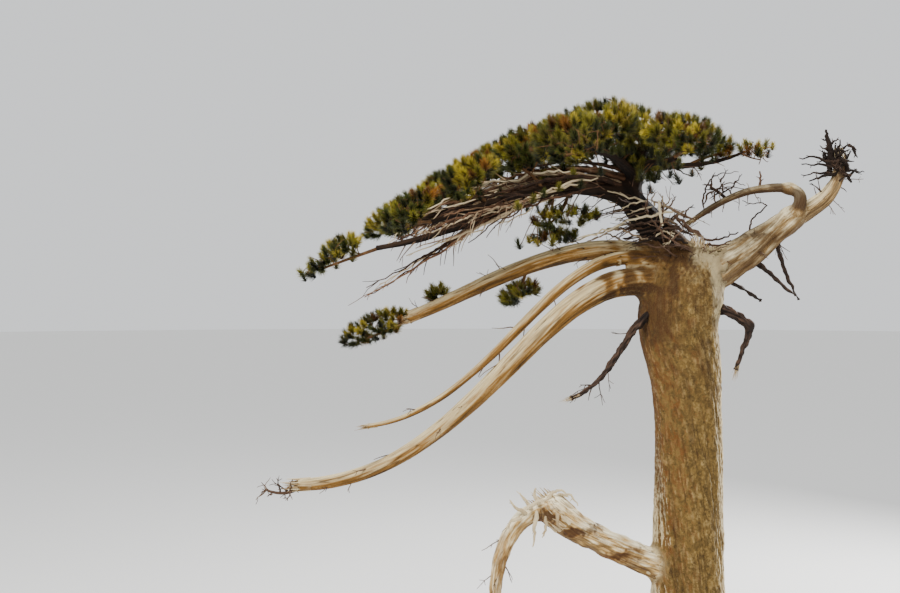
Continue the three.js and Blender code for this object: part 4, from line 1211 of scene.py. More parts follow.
TWIG_STEPS = 8  # steps of a main shoot
LAST_STEPS = 4  # steps of a twig's end, inside its needles
PATH_STEPS = 6  # steps of a finer twig
STEM_STEP = 20  # a stem or a branch has a point at every so many steps of its middle line
FINE_SEED = 7919  # this much past a mass's own seed
BOX_MARGIN = 0.02  # how far a twig may reach out of the solids' box

# Near-parallel bare branches under the crown's foliage, from these boughs
RAFT_BOUGHS = ("crown_bough_low", "crown_bough_middle", "crown_bough_front", "crown_bough_back")
RAFT_COUNT = 46
# A branch's share of its bough, reach and thickness: the least, and how much more by chance
RAFT_AT = (0.16, 0.52)
RAFT_REACH = (0.9, 0.9)
RAFT_THICK = (0.013, 0.011)
HIGH_THICK = (0.022, 0.010)
RAFT_THIN = 0.006
HIGH_THIN = 0.007
RAFT_PAST = 1.04  # no branch goes past this share of its bough's reach
RAFT_TURN = 22  # degrees from side to side
RAFT_FALL = 5  # degrees a branch falls away from its bough, and how much more by chance
RAFT_FALL_CHANCE = 7
RAFT_LEAVE = 12
RAFT_ARRIVE = 6
HIGH_CLIMB = 20
# Darkest tone, how much paler by chance and its power; then the side twigs' number, length, lean and droop
RAFT_LOOK = ((0.05, 0.9, 1.4), 5, 0.26, (-0.5, 0, -0.35), 0.15)
HIGH_LOOK = ((0.05, 0.8, 1.6), 9, 0.24, (-0.6, 0, 0.05), 0.05)
# More of them higher up, from the leader: share of its length, bearing, reach, rise
HIGH_RAFT = (
    (0.02, -9, 2.30, -0.26), (0.06, 12, 2.20, -0.18), (0.10, 3, 2.05, -0.12), (0.16, -14, 1.95, -0.10),
    (0.22, 18, 1.85, -0.06), (0.28, -4, 1.75, -0.04), (0.34, 8, 1.60, 0.00), (0.42, -18, 1.45, 0.02),
    (0.05, 22, 2.00, -0.20), (0.12, -24, 1.90, -0.16), (0.30, 26, 1.50, 0.02), (0.18, -2, 2.15, -0.20),
)
RAFT_SEED = 41
LITTER_SEED = 57
LOOSE_SEED = 83
ROUGHNESS = 0.09  # how far a loose branch strays between its bends, as a share of the way
RAFT_ROUGHNESS = 0.014  # how far a branch of the raft strays at its points
KINK_LENGTH = (0.7, 0.6)  # a piece between two kinks, as a share of an even one
SIDE_PLACE = (0.3, 0.7)
SIDE_LENGTH = (0.4, 0.9)
SIDE_ON = 0.7
SIDE_CHANCE = 0.8
SIDE_KINKS = (3, 0.28)  # how many a side twig has, and how sharp
SIDE_SHARE = 0.75  # a side twig's thickness as a share of its branch's
THICKEST_SIDE = 0.009
TONE_VARIETY = 0.2
LITTER_ON = 0.3
LITTER_LENGTH = 0.35
LITTER_THICK = (0.6, 0.6)
LITTER_KINKS = (4, 0.22, 0.05)  # how many, how sharp, and how far each droops
FORKED = 0.7  # how many dead twigs have side twigs
FORK_COUNT = 2
FORK_LENGTH = 0.45  # a side twig's length as a share of its twig's
FORK_DROOP = 0.05
BARE_STEPS = 5
BARE_STRAY = 0.06
BARE_THICKNESS = 1.6  # a bare shoot's thickness, as a share of the one in the source
BARE_TONES = 0.25
BARE_LEAN = (-0.1, 0, 0.1)
LOOSE_BETWEEN = (0.25, 0.5, 0.75)  # where a loose branch strays, as shares of the way between two bends
LOOSE_SIDES = (2, 0.07)  # how many side twigs a loose branch has, and their length
LOOSE_FOOT = (0.4, 0.15)  # how thick a loose branch's foot is, and the stretch where it thickens

# Bare masses: tone, radius of a shoot's foot, side twigs on each shoot and their length
BARE_LOOKS = {
    "twigs_snag": (0.0, 0.024, 4, 0.055),
    "twigs_tangle": (0.4, 0.014, 2, 0.11),
    "twigs_arch": (0.15, 0.014, 1, 0.07),
    "twigs_bough_end": (0.3, 0.011, 3, 0.10),
}

BARE_SIZES = {"twigs_snag": 0.74}  # a bare mass that is drawn in, as a share

# Tufts that stand alone: x, y, z of the tuft's tip
LONE_TUFTS = (
    (-1.10, -0.05, 7.06), (-1.02, 0.02, 7.04), (-1.20, 0.08, 7.05), (-0.92, -0.10, 6.75),
    (-0.96, 0.08, 6.77), (-3.04, 0.05, 6.365), (-3.00, 0.10, 6.30), (-2.64, 0.00, 6.56),
    (-2.54, 0.06, 6.59), (-2.74, -0.05, 6.50), (-4.72, 0.02, 5.19), (-4.66, 0.00, 5.13),
    (0.80, 0.05, 6.69), (0.86, 0.02, 6.66), (0.96, 0.08, 6.76), (1.01, 0.05, 6.72),
    (-2.08, 0.05, 5.56), (-1.96, 0.02, 5.59), (-1.86, 0.06, 5.54), (-1.64, 0.04, 5.60),
)
LONE_REACH = 0.14  # such a tuft's twig is about as long as this, from one of so many near places
LONE_NEAR = 40

# Shoots that the limbs bear under the crown: limb, how many, from and to which share, how far they stand off
UNDER_SHOOTS = (
    ("leader", 64, 0.25, 1.00, 0.20),
    ("crown_bough_high", 12, 0.10, 0.90, 0.18),
    ("crown_bough_middle", 20, 0.22, 0.70, 0.20),
    ("crown_bough_back", 16, 0.25, 0.80, 0.20),
    ("crown_bough_front", 14, 0.30, 0.80, 0.17),
    ("crown_bough_right", 14, 0.05, 0.80, 0.15),
    ("crown_bough_front_wide", 26, 0.10, 0.90, 0.16),
    ("crown_bough_right_front", 16, 0.15, 0.90, 0.14),
)
UNDER_SEED = 29
# Painted shade: most shoots under the crown take the dark tint
UNDER_PAINTED_SHADE = 0.65  # how many of them are dark, as a share
UNDER_RISE = 0.7
UNDER_REACH = (0.6, 0.8)
# Gaps that no tuft's tip closes: x from and to, z from and to
OPEN_GAPS = (
    (-1.36, -0.80, 6.34, 6.50), (0.72, 0.78, 6.3, 7.0), (0.885, 0.925, 6.3, 7.0), (0.6, 1.1, 6.3, 6.58))

# The dark tint is painted shade: a darker copy of the needles for tufts in the shade
TINTS = ("olive", "dark", "yellow_green", "rust")
TINT_SHARES = (0.45, 0.27, 0.18, 0.10)
GATHER_EDGE = (0.6, 0.6)
# Painted shade: tufts low in a mass mostly take the dark tint
GATHERED = 0.6  # how many tufts take the tint that gathers round them, and in the shade the dark one
SHADE_LEVEL = -0.1  # the shade is lower than this share of a mass's half height
NO_SHADE = 0.3
SAME_TINT = 0.2  # how many tufts have their main shoot's tint
# Where a tint gathers: x, z, how far round, tint
TINT_SPOTS = (
    (-1.86, 6.88, 0.10, "rust"),
    (0.38, 6.62, 0.12, "rust"),
    (-2.80, 6.33, 0.16, "yellow_green"),
    (-0.96, 6.98, 0.20, "yellow_green"),
)

# Dead twigs along limbs: limb, how many, from and to which share, length, lean, radius of a foot, tone
LITTER = (
    ("upper_trunk", 34, 0.05, 0.95, 0.40, (-1.1, -0.5, -0.2), 0.015, 0.25),
    ("upper_trunk", 16, 0.0, 0.6, 0.26, (0.5, -0.5, 0.25), 0.013, 0.3),
    ("upper_trunk", 24, 0.05, 0.9, 0.36, (-0.5, 0.7, -0.1), 0.015, 0.3),
    ("trunk", 44, 0.955, 0.985, 0.24, (-1.1, -0.8, 0.35), 0.015, 0.05),
    ("bough_high", 18, 0.0, 0.35, 0.20, (-0.8, -0.2, 0.45), 0.010, 0.15),
    ("right_snag", 12, 0.88, 1.0, 0.13, (-0.4, 0, 0.8), 0.026, 0.0),
    ("right_snag", 5, 0.5, 0.9, 0.20, (-0.6, 0, 0.2), 0.014, 0.1),
    *((bough, 22, 0.08, 0.9, 0.34, (-0.9, 0, -0.3), 0.011, 0.3) for bough in RAFT_BOUGHS),
    ("bough_low", 7, 0.3, 0.98, 0.22, (-0.4, 0, -0.5), 0.009, 0.35),
    ("bough_middle", 7, 0.3, 0.98, 0.22, (-0.4, 0, -0.3), 0.009, 0.35),
    ("bough_high", 10, 0.3, 0.98, 0.24, (-0.4, 0, 0.3), 0.009, 0.35),
    ("leader", 7, 0.1, 0.8, 0.28, (0.3, 0, 0.1), 0.009, 0.35),
    ("crown_bough_right", 9, 0.1, 0.95, 0.24, (0.5, 0, 0.1), 0.009, 0.35),
    ("dead_drop", 8, 0.3, 1, 0.26, (-0.4, 0, -0.3), 0.009, 0.25),
    ("dead_limb_hanging", 6, 0.2, 1, 0.20, (-0.3, 0, -0.6), 0.010, 0.3),
    ("right_limb", 6, 0.2, 0.9, 0.20, (0.2, 0, -0.7), 0.010, 0.3),
    ("right_snag", 7, 0.2, 0.95, 0.22, (0.3, 0, 0.2), 0.009, 0.3),
    ("arch_return", 8, 0.1, 0.95, 0.16, (0, 0, 0.4), 0.007, 0.45),
)
LITTER_RIGHT = -0.06  # the trunk's dead twigs stay left of this x, clear of its bare top

# Shards of broken ends. A ring is 0 in the heart and 1 at the rim
FEWEST_SHARDS = 22
SHARDS_PER_METRE = 220  # how many more for each metre of the end's radius
SHORT_SHARD = 0.4
SHARD_GROWTH = 2.6
SHARD_RING = 0.92
SHARD_SINK = 0.35
SHARD_LENGTH = (0.55, 0.8)
SHARD_HEART = 1.2
SHARD_FALL = 0.3
SHARD_SPREAD = 0.12
SHARD_STRAY = 0.05
SHARD_BEND = 0.02
SHARD_SHARE = 0.26  # a shard's thickness as a share of the end's radius
THICKEST_SHARD = 0.030
SHARD_THICK = (0.6, 0.7)
SHARD_POINT = 0.12
SHARD_TONE = 0.95


class Path:
    """A twig as a line of points with a thickness at each, and a tone: 0 is dark and 1 is bleached."""

    def __init__(self, points, start, end, tone):
        self.points = np.asarray(points)
        self.radii = start + (end - start) * np.linspace(0, 1, len(self.points))
        self.tone = tone

    @property
    def direction(self):
        """The direction that the twig ends in."""
        return unit(self.points[-1] - self.points[-2])


class Tuft:
    """A brush of needles round the end of a shoot."""

    def __init__(self, base, aim, size, tint):
        self.base, self.aim, self.size, self.tint = base, aim, size, tint

    @property
    def end(self):
        """The end of the shoot, inside its needles."""
        return self.base + self.aim * TUFT_STEP * self.size


def drawn(least, more, draw):
    """A number from a least one up to so much more, by chance."""
    return least + more * draw()


def random_unit(draw):
    """A direction drawn evenly from all directions."""
    level = 2 * draw() - 1
    turn = 2 * math.pi * draw()
    ring = math.sqrt(1 - level * level)
    return np.array((ring * math.cos(turn), ring * math.sin(turn), level))


def kinked(root, direction, length, draw, kinks, bend, droop):
    """A dead twig's points: straight pieces with a turn at each bud it once had."""
    points = [root]
    for _ in range(kinks):
        direction = unit(direction + bend * random_unit(draw) - droop * UP)
        points.append(points[-1] + direction * length / kinks * drawn(*KINK_LENGTH, draw))
    return points


def eased(root, start, tip, end, steps=PATH_STEPS):
    """A twig's points: it leaves in one direction and arrives in another."""
    reach = np.linalg.norm(tip - root)
    return bezier((root, root + start * reach * TWIG_GRIP, tip - end * reach * TWIG_GRIP, tip), steps)


def whole_stem(stem, step, tone):
    """A stem or a branch as a path."""
    return Path(stem.line[::step], stem.radius_at(0.0), stem.radius_at(1.0), tone)


class Wood:
    """All the forks that twigs may start from, as arrays."""

    def __init__(self):
        self.points, self.directions = np.zeros((0, 3)), np.zeros((0, 3))
        self.paths, self.radii, self.loads = np.zeros(0), np.zeros(0), np.zeros(0)

    def add(self, points, directions, paths, radii):
        """Adds forks."""
        self.points = np.vstack((self.points, points))
        self.directions = np.vstack((self.directions, directions))
        self.paths = np.append(self.paths, paths)
        self.radii = np.append(self.radii, radii)
        self.loads = np.append(self.loads, np.zeros(len(points)))

    def cheapest(self, tip):
        """The fork with the shortest way to a tip that isn't crowded."""
        cost = np.linalg.norm(self.points - tip, axis=1) + PATH_WEIGHT * self.paths
        best = int((cost + FINE_CROWDING * self.loads).argmin())
        self.loads[best] += 1
        return best


def choose_tint(place, own, draw):
    """A spray's tint: the tint that gathers round it, the dark one as painted shade where the mass is in
    shade, or one by its share.
    """
    for x, z, reach, tint in TINT_SPOTS:
        near = math.hypot(place[0] - x, place[2] - z) < reach * drawn(*GATHER_EDGE, draw)
        if near and draw() < GATHERED:
            return tint
    level = (place - own.centre)[2] / own.half[2] if own is not None else NO_SHADE
    if level < SHADE_LEVEL and draw() < GATHERED:
        return "dark"
    pick = draw()
    for tint, share in zip(TINTS, np.cumsum(TINT_SHARES)):
        if pick < share:
            return tint
    return TINTS[0]


def grow_mass(own, seed):
    """A foliage mass carried to its finest twigs. Gives its paths and its tufts."""
    stem, shoots = grow_coarse(own, seed)
    draw = random_from(seed + FINE_SEED)
    wood = Wood()
    paths = [whole_stem(stem, STEM_STEP, LIVING_TONE)]
    shares = np.array(STEM_FORKS)
    wood.add([stem.point(share) for share in shares], [stem.tangent(share) for share in shares],
             shares * stem.length, [stem.radius_at(share) for share in shares])
    tufts, tips, spray_tints = [], [], []
    for shoot in shoots:
        reach = np.linalg.norm(shoot.tip - shoot.root)
        direction = (shoot.tip - shoot.root) / reach
        bend = np.cross(direction, random_unit(draw)) * TWIG_BEND * reach
        share = np.linspace(0, 1, TWIG_STEPS + 1)[:, None]
        points = shoot.root + (shoot.tip - shoot.root) * share + bend * np.sin(math.pi * share)
        path = Path(points[:TWIG_STEPS], max(shoot.root_radius, LEAST_RADIUS), FINE_TIP_RADIUS, LIVING_TONE)
        wood.add(points[1:TWIG_STEPS], np.repeat([direction], TWIG_STEPS - 1, axis=0),
                 shoot.fork.path + share[1:TWIG_STEPS, 0] * reach, path.radii[1:])
        spray_tints.append(choose_tint(shoot.tip, own, draw))
        tips.append(shoot.tip)
        tuft = make_tuft(own, shoot.tip, path.direction, spray_tints[-1], draw)
        tufts.append(tuft)
        last = eased(path.points[-1], path.direction, tuft.end, tuft.aim, LAST_STEPS)
        paths += [path, Path(last, FINE_TIP_RADIUS, FINE_TIP_RADIUS, LIVING_TONE)]
    sprays = np.array(tips)
    for depth, spacing, skirt in SHELLS:
        fresh = spread_tips(own, FINE_CANDIDATES, skirt, depth, spacing, draw, tips)
        ease = SMALL_MASS_EASE if own.half[1] < SMALL_MASS else 0
        levels = [noise.noise(tip / CLUMP_SIZE) + ease for tip in fresh]
        kept = [(tip, level) for tip, level in zip(fresh, levels) if level > CLUMP_GAP]
        tips += [tip for tip, level in kept]
        for tip, level in kept:
            tip = tip + (own.centre - tip) * CLUMP_SAG * (1 - smooth(level, CLUMP_GAP, CLUMP_TOP))
            best = wood.cheapest(tip)
            nearest = int(np.linalg.norm(sprays - tip, axis=1).argmin())
            tint = spray_tints[nearest] if draw() < SAME_TINT else choose_tint(tip, own, draw)
            root = wood.points[best]
            direction, reach = unit(tip - root), np.linalg.norm(tip - root)
            tuft = make_tuft(own, tip, direction, tint, draw)
            start = min(FINE_RADIUS, FINE_SHARE * wood.radii[best] + FINE_SWELL)
            points = eased(root, unit(wood.directions[best] + direction), tuft.end, tuft.aim)
            paths.append(Path(points, start, FINE_TIP_RADIUS, LIVING_TONE))
            tufts.append(tuft)
            chosen = [int(share * PATH_STEPS) for share in FINE_FORKS]
            wood.add(points[chosen], np.repeat([direction], len(chosen), axis=0),
                     wood.paths[best] + np.array(FINE_FORKS) * reach,
                     np.repeat(start * FINE_SHARE, len(chosen)))
    return paths, tufts


def make_tuft(own, tip, direction, tint, draw):
    """A tuft that looks out of its mass and up, as the ends of pine shoots do."""
    outward = own.outward(tip) if own is not None else UP
    aim = TUFT_OUT * outward + TUFT_RISE * UP + TUFT_ON * direction + np.array(TUFT_LEAN)
    aim = unit(aim + TUFT_CHANCE * random_unit(draw))
    size = LEAST_TUFT + TUFT_VARIETY * draw()
    return Tuft(tip - aim * (TUFT_STEP + TUFT_BACK) * size, aim, size, tint)


def fits_box(tuft):
    """Whether a tuft's needles stay in the solids' box, or nearly."""
    tip = tuft.base + tuft.aim * (TUFT_STEP + TUFT_BACK) * tuft.size
    return bool((tip > np.array(CAD_BOX[0])).all() and (tip < np.array(CAD_BOX[1])).all())


def grow_crown():
    """Every foliage mass, and the tufts that stand alone. Gives the living twigs and the tufts."""
    paths, tufts = [], []
    for i, own in enumerate(MASSES):
        if own.twigs:
            continue
        more, fresh = grow_mass(own, FIRST_SEED + i)
        paths += inside_box(more)
        tufts += [tuft for tuft in fresh if fits_box(tuft) and not in_gap(tuft.end)]
    more, fresh = grow_under()
    paths += inside_box(more)
    tufts += [tuft for tuft in fresh if fits_box(tuft)]
    ends = np.concatenate([path.points for path in paths])
    draw = random_from(LITTER_SEED)
    for place in LONE_TUFTS:
        tip = np.array(place)
        near = ends[np.linalg.norm(ends - tip, axis=1).argsort()[:LONE_NEAR]]
        root = near[np.abs(np.linalg.norm(near - tip, axis=1) - LONE_REACH).argmin()]
        tuft = make_tuft(None, tip, unit(tip - root), choose_tint(tip, None, draw), draw)
        line = eased(root, unit(tip - root), tuft.end, tuft.aim)
        paths.append(Path(line, LEAST_RADIUS, FINE_TIP_RADIUS, LONE_TONE))
        tufts.append(tuft)
    return paths, tufts


def in_gap(tip):
    """Whether a tip is in one of the gaps that stay open between the tufts."""
    return any(left < tip[0] < right and low < tip[2] < high for left, right, low, high in OPEN_GAPS)


def grow_under():
    """Shoots with a tuft each along the limbs' upper sides, under the foliage masses."""
    draw = random_from(UNDER_SEED)
    paths, tufts = [], []
    for name, count, first, last, off in UNDER_SHOOTS:
        own = LIMBS[name]
        for _ in range(count):
            share = first + (last - first) * draw()
            side = unit(np.cross(own.tangent(share), random_unit(draw)))
            side = unit(side + UNDER_RISE * UP)
            root = own.point(share) + side * 0.5 * own.radius_at(share)
            tip = own.point(share) + side * (own.radius_at(share) + off * drawn(*UNDER_REACH, draw))
            if in_gap(tip):
                continue
            # Painted shade under the crown
            tint = "dark" if draw() < UNDER_PAINTED_SHADE else "olive"
            tuft = make_tuft(None, tip, unit(tip - root), tint, draw)
            tufts.append(tuft)
            line = eased(root, side, tuft.end, tuft.aim)
            paths.append(Path(line, FINE_RADIUS, FINE_TIP_RADIUS, UNDER_TONE))
    return paths, tufts


def inside_box(paths):
    """The paths that stay inside the solids' box."""
    low, high = np.array(CAD_BOX[0]) - BOX_MARGIN, np.array(CAD_BOX[1]) + BOX_MARGIN
    return [path for path in paths if (path.points > low).all() and (path.points < high).all()]


def side_twigs(path, count, length, draw, lean, droop):
    """Dead twigs off a branch, each from a point past its first third."""
    made = []
    last = len(path.points) - 1
    for _ in range(count):
        i = min(1 + int((last - 1) * drawn(*SIDE_PLACE, draw)), last)
        along = unit(path.points[i] - path.points[i - 1])
        direction = unit(SIDE_ON * along + lean + SIDE_CHANCE * random_unit(draw))
        reach = length * drawn(*SIDE_LENGTH, draw)
        points = kinked(path.points[i], direction, reach, draw, *SIDE_KINKS, droop)
        thick = min(THICKEST_SIDE, SIDE_SHARE * path.radii[i])
        made.append(Path(points, thick, DEAD_TIP_RADIUS, path.tone + TONE_VARIETY * (draw() - 0.5)))
    return made


def grow_raft():
    """Bare branches that run almost side by side under the foliage, with their dead side twigs."""
    draw = random_from(RAFT_SEED)
    paths = []

    def add_branch(sizes, tones, count, length, lean, droop):
        """Adds a branch, roughened at its points except at its root, and its side twigs."""
        branch = whole_stem(make_limb(sizes, LIMBS), STEM_STEP, 0)
        turns = np.array([random_unit(draw) for _ in branch.points]) * RAFT_ROUGHNESS
        turns[0] = 0
        branch.points = branch.points + turns
        darkest, most, power = tones
        branch.tone = darkest + most * draw() ** power
        paths.append(branch)
        paths.extend(side_twigs(branch, count, length, draw, np.array(lean), droop))

    for k in range(RAFT_COUNT):
        bough = SIZES[RAFT_BOUGHS[k % len(RAFT_BOUGHS)]]
        at = drawn(*RAFT_AT, draw)
        climb = math.degrees(math.asin(LIMBS[bough.name].tangent(at)[2]))
        reach = min(drawn(*RAFT_REACH, draw), (RAFT_PAST - at) * bough.reach)
        drop = reach * math.tan(math.radians(climb - RAFT_FALL - RAFT_FALL_CHANCE * draw()))
        bearing = bough.bearing + RAFT_TURN * (draw() - 0.5)
        add_branch(Sizes("branch", bough.name, at, 0, bearing, reach, drop, climb - RAFT_LEAVE,
                         climb - RAFT_ARRIVE, drawn(*RAFT_THICK, draw), RAFT_THIN), *RAFT_LOOK)
    for at, bearing, reach, rise in HIGH_RAFT:
        add_branch(Sizes("branch", "leader", at, 0, bearing, reach, rise, HIGH_CLIMB, -HIGH_CLIMB,
                         drawn(*HIGH_THICK, draw), HIGH_THIN), *HIGH_LOOK)
    return inside_box(paths)


def grow_bare(own, seed):
    """A mass of dead twigs: kinked shoots with a few short side twigs each."""
    stem, shoots = grow_coarse(own, seed)
    draw = random_from(seed + FINE_SEED)
    tone, thick, count, length = BARE_LOOKS[own.name]
    paths = [whole_stem(stem, 2 * STEM_STEP, tone)]
    for shoot in shoots:
        reach = np.linalg.norm(shoot.tip - shoot.root)
        share = np.linspace(0, 1, BARE_STEPS + 1)[:, None]
        points = shoot.root + (shoot.tip - shoot.root) * share
        points[1:-1] += np.array([random_unit(draw) for _ in range(BARE_STEPS - 1)]) * BARE_STRAY * reach
        foot_radius = max(BARE_THICKNESS * shoot.root_radius, thick)
        path = Path(points, foot_radius, FINE_TIP_RADIUS, tone + BARE_TONES * (draw() - 0.5))
        paths.append(path)
        paths += side_twigs(path, count, length, draw, np.array(BARE_LEAN), 0)
    foot = stem.point(0.0)
    for path in paths:
        path.points = foot + (path.points - foot) * BARE_SIZES.get(own.name, 1)
    return paths


def grow_loose(table):
    """Dead branches placed one by one, roughened between their bends, with a few side twigs."""
    draw = random_from(LOOSE_SEED)
    paths = []
    for start, end, tone, bends in table:
        points = [bends[0]]
        for near, far in zip(bends, bends[1:]):
            stray = ROUGHNESS * np.linalg.norm(far - near)
            points += [near + (far - near) * share + stray * random_unit(draw) for share in LOOSE_BETWEEN]
            points.append(far)
        path = Path(points, start, end, tone)
        foot, full = LOOSE_FOOT
        path.radii *= foot + (1 - foot) * smooth(np.linspace(0, 1, len(points)), 0, full)
        paths.append(path)
        paths += side_twigs(path, *LOOSE_SIDES, draw, np.zeros(3), 0)
    return inside_box(paths)


def placed(table):
    """The branches of a table with their bends in full, each with its depth."""
    made = []
    for start, end, tone, depths, *bends in table:
        depths = np.atleast_1d(depths)
        ways = [np.linspace(0, 1, len(row)) for row in (bends, depths)]
        y = np.round(np.interp(*ways, depths), 2)
        x, z = np.array(bends).T
        made.append((start, end, tone, np.column_stack((x, y, z))))
    return made


def litter(bough, count, first, last, length, lean, radius, tone, draw):
    """Short dead twigs and stubs along a limb, each starting under its surface."""
    made = []
    own = LIMBS[bough]
    for _ in range(count):
        share = first + (last - first) * draw()
        side = unit(np.cross(own.tangent(share), random_unit(draw)))
        direction = unit(side + np.array(lean) + LITTER_ON * own.tangent(share))
        root = own.point(share) + side * 0.5 * own.radius(share)
        reach = length * (LITTER_LENGTH + draw()) + 0.5 * own.radius(share)
        points = kinked(root, direction, reach, draw, *LITTER_KINKS)
        thick = radius * drawn(*LITTER_THICK, draw)
        twig = Path(points, thick, DEAD_TIP_RADIUS, tone + TONE_VARIETY * (draw() - 0.5))
        made.append(twig)
        if draw() < FORKED:
            lean_less = np.array(lean) * 0.5
            made += side_twigs(twig, FORK_COUNT, FORK_LENGTH * length, draw, lean_less, FORK_DROOP)
    return made


def grow_dead():
    """Every dead twig outside the raft: the four bare masses and the litter along the limbs."""
    draw = random_from(LITTER_SEED)
    paths = []
    for i, own in enumerate(MASSES):
        if own.twigs:
            paths += grow_bare(own, FIRST_SEED + i)
    for bough, *row in LITTER:
        fresh = litter(bough, *row, draw)
        if LIMBS[bough].lobed:
            fresh = [path for path in fresh if path.points[:, 0].max() < LITTER_RIGHT]
        paths += fresh
    return inside_box(paths)


def splinters(end, tangent, radius, count, length, draw):
    """Shards round a broken end, which start deeper under its rim than in its heart."""
    side, across = square_to(tangent)
    paths = []
    for k in range(count):
        turn = k * GOLDEN_ANGLE
        ring = SHARD_RING * math.sqrt((k + 0.5) / count)
        outward = side * math.cos(turn) + across * math.sin(turn)
        root = end + outward * ring * radius - tangent * (SHARD_SINK + 0.5 * ring) * length
        reach = length * drawn(*SHARD_LENGTH, draw) * (SHARD_HEART - SHARD_FALL * ring) + SHARD_SINK * length
        tip = root + tangent * reach + outward * SHARD_SPREAD * length * draw()
        tip = tip + SHARD_STRAY * length * random_unit(draw)
        middle = (root + tip) / 2 + SHARD_BEND * length * random_unit(draw)
        thick = min(SHARD_SHARE * radius, THICKEST_SHARD) * drawn(*SHARD_THICK, draw)
        paths.append(Path((root, middle, tip), thick, SHARD_POINT * thick, SHARD_TONE - 0.5 * draw()))
    return paths


def grow_splinters(names, length):
    """Shards at the broken ends of limbs, more of them and longer where the limb is thicker."""
    draw = random_from(LITTER_SEED + 1)
    paths = []
    for name in names:
        made = LIMBS[name]
        radius = TOP_RADIUS if made.lobed else made.radius(1.0)
        count = FEWEST_SHARDS + int(SHARDS_PER_METRE * radius)
        longest = length * (SHORT_SHARD + SHARD_GROWTH * radius)
        paths += splinters(made.point(1), made.tangent(1), radius, count, longest, draw)
    return inside_box(paths)


def linear(code):
    """An sRGB hex colour as linear red, green, blue and alpha."""
    shares = [int(code[i:i + 2], 16) / 255 for i in (1, 3, 5)]
    return (*(c / 12.92 if c <= 0.04045 else ((c + 0.055) / 1.055) ** 2.4 for c in shares), 1.0)


def plain_shades(codes):
    """Hex colours without alpha."""
    return [linear(code)[:3] for code in codes]


CREAM = np.array(linear("#e8d8b0")[:3])  # what bleached bark and wood turn to
MOST_TRIANGLES = 200000  # a piece has fewer
NEEDLE_FACES = 4
NEEDLE_STRAY = (0.2, 0.2, 0.25)  # how far a needle is turned out of its place, in radians
SHORTEST_NEEDLE = 0.82  # as a share of the one needle that is copied
LONGEST_NEEDLE = 1.12
TUFT_SEEDS = 10  # the seeds of the next tint's pieces start this much farther on
MOST_TUFT_TRIANGLES = 190000  # in one piece of tufts
SPLINTER_SIDES = 5

# Fixed shades of the barks and woods: dark, pale, bare, painted rim light, and stain with painted shade for
# bark; pale, dark, and stain with painted shade for wood
BARK_SHADES = ("#2c1a09", "#b89e68", "#d0bf94", "#d8c69c", "#40260e")
SNAG_SHADES = ("#f0e0b4", "#33200e", "#6e5028")
DEAD_LIMB_SHADES = ("#fbf0cc", "#3a200c", "#7a4e1c")
# The same for the crown's bark and the dead branches, as shares of their own colour; fresh bark comes first
CROWN_SHARES = (0.9, 0.3, 2.4, 2.8, 1.6, 0.5)
DEAD_BRANCH_SHARES = (2.4, 0.2, 0.35)
DEAD_BRANCH_LIGHT = 0.6
# Painted shade: wood that looks less far up than this is painted darker: 0 looks down and 1 up
PAINTED_SHADE_BELOW = 0.50
SPIKES_PAINTED_SHADE_BELOW = 0.42
SPLIT_WOOD = "#a5875a"
GREY_SPLIT_WOOD = "#8a7048"
TORN_WOOD = "#7e6038"
TORN_LIMBS = (
    "bough_low", "bough_middle", "bough_high", "dead_limb", "dead_limb_hanging", "dead_drop", "hook_hanging")
TOP_SHARDS = 0.5  # shards of the trunk's top are this much shorter

# The far side of the tangle: the near one mirrored in depth and moved a little
FAR_SIDE = (1, -1, 1)
FAR_MOVE = (-0.05, 0.14, -0.03)

# The stage. Lights: name, place, what it is turned to, its size; the camera as it stood for the photograph
FLOOR_SIDES = 64
FLOOR_ROUGHNESS = 0.9
WORLD_COLOUR = "#eef0f2"
LIGHTS = (("key", (-6.0, -8.0, 13.0), (-1.5, 0, 4.5), 6.0), ("rim", (8.0, 6.0, 8.5), (-0.5, 0, 4.5), 4.0))
CAMERA_PLACE = (-2.880, -13.0, 4.842)
CAMERA_TURN = (math.pi / 2, 0, 0)
CAMERA_FAR = 400
SENSOR_WIDTH = 36.0  # in mm
FOCAL_PIXELS = 1083.0
PHOTO_PIXELS = 900


def add_node(tree, kind, inputs=None, stops=None, **settings):
    """Adds a node with its settings, its inputs (a value, or a socket to link) and a ramp's stops."""
    node = tree.nodes.new(kind)
    for key, value in settings.items():
        setattr(node, key, value)
    for key, value in (inputs or {}).items():
        if isinstance(value, bpy.types.NodeSocket):
            tree.links.new(value, node.inputs[key])
        else:
            node.inputs[key].default_value = value
    if stops:
        elements = node.color_ramp.elements
        while len(elements) < len(stops):
            elements.new(0.5)
        for element, (place, colour) in zip(elements, stops):
            element.position = place
            element.color = (*colour, 1.0)
    return node


def shades(colour, dark, pale, light, places):
    """A ramp's stops round a colour: a darker share of it at the first place, on its way to the pale colour
    at the last."""
    colour, pale = np.array(colour), np.array(pale)
    middle = (len(places) - 1) / 2
    levels = [k / middle - 1 for k in range(len(places))]
    return [
        (place, colour * (1 + level * (1 - dark)) if level < 0 else colour + (pale - colour) * light * level)
        for place, level in zip(places, levels)
    ]


def new_material(name):
    """A material with an empty node tree, and that tree."""
    material = bpy.data.materials.new(name)
    material.use_nodes = True
    material.node_tree.nodes.clear()
    return material, material.node_tree


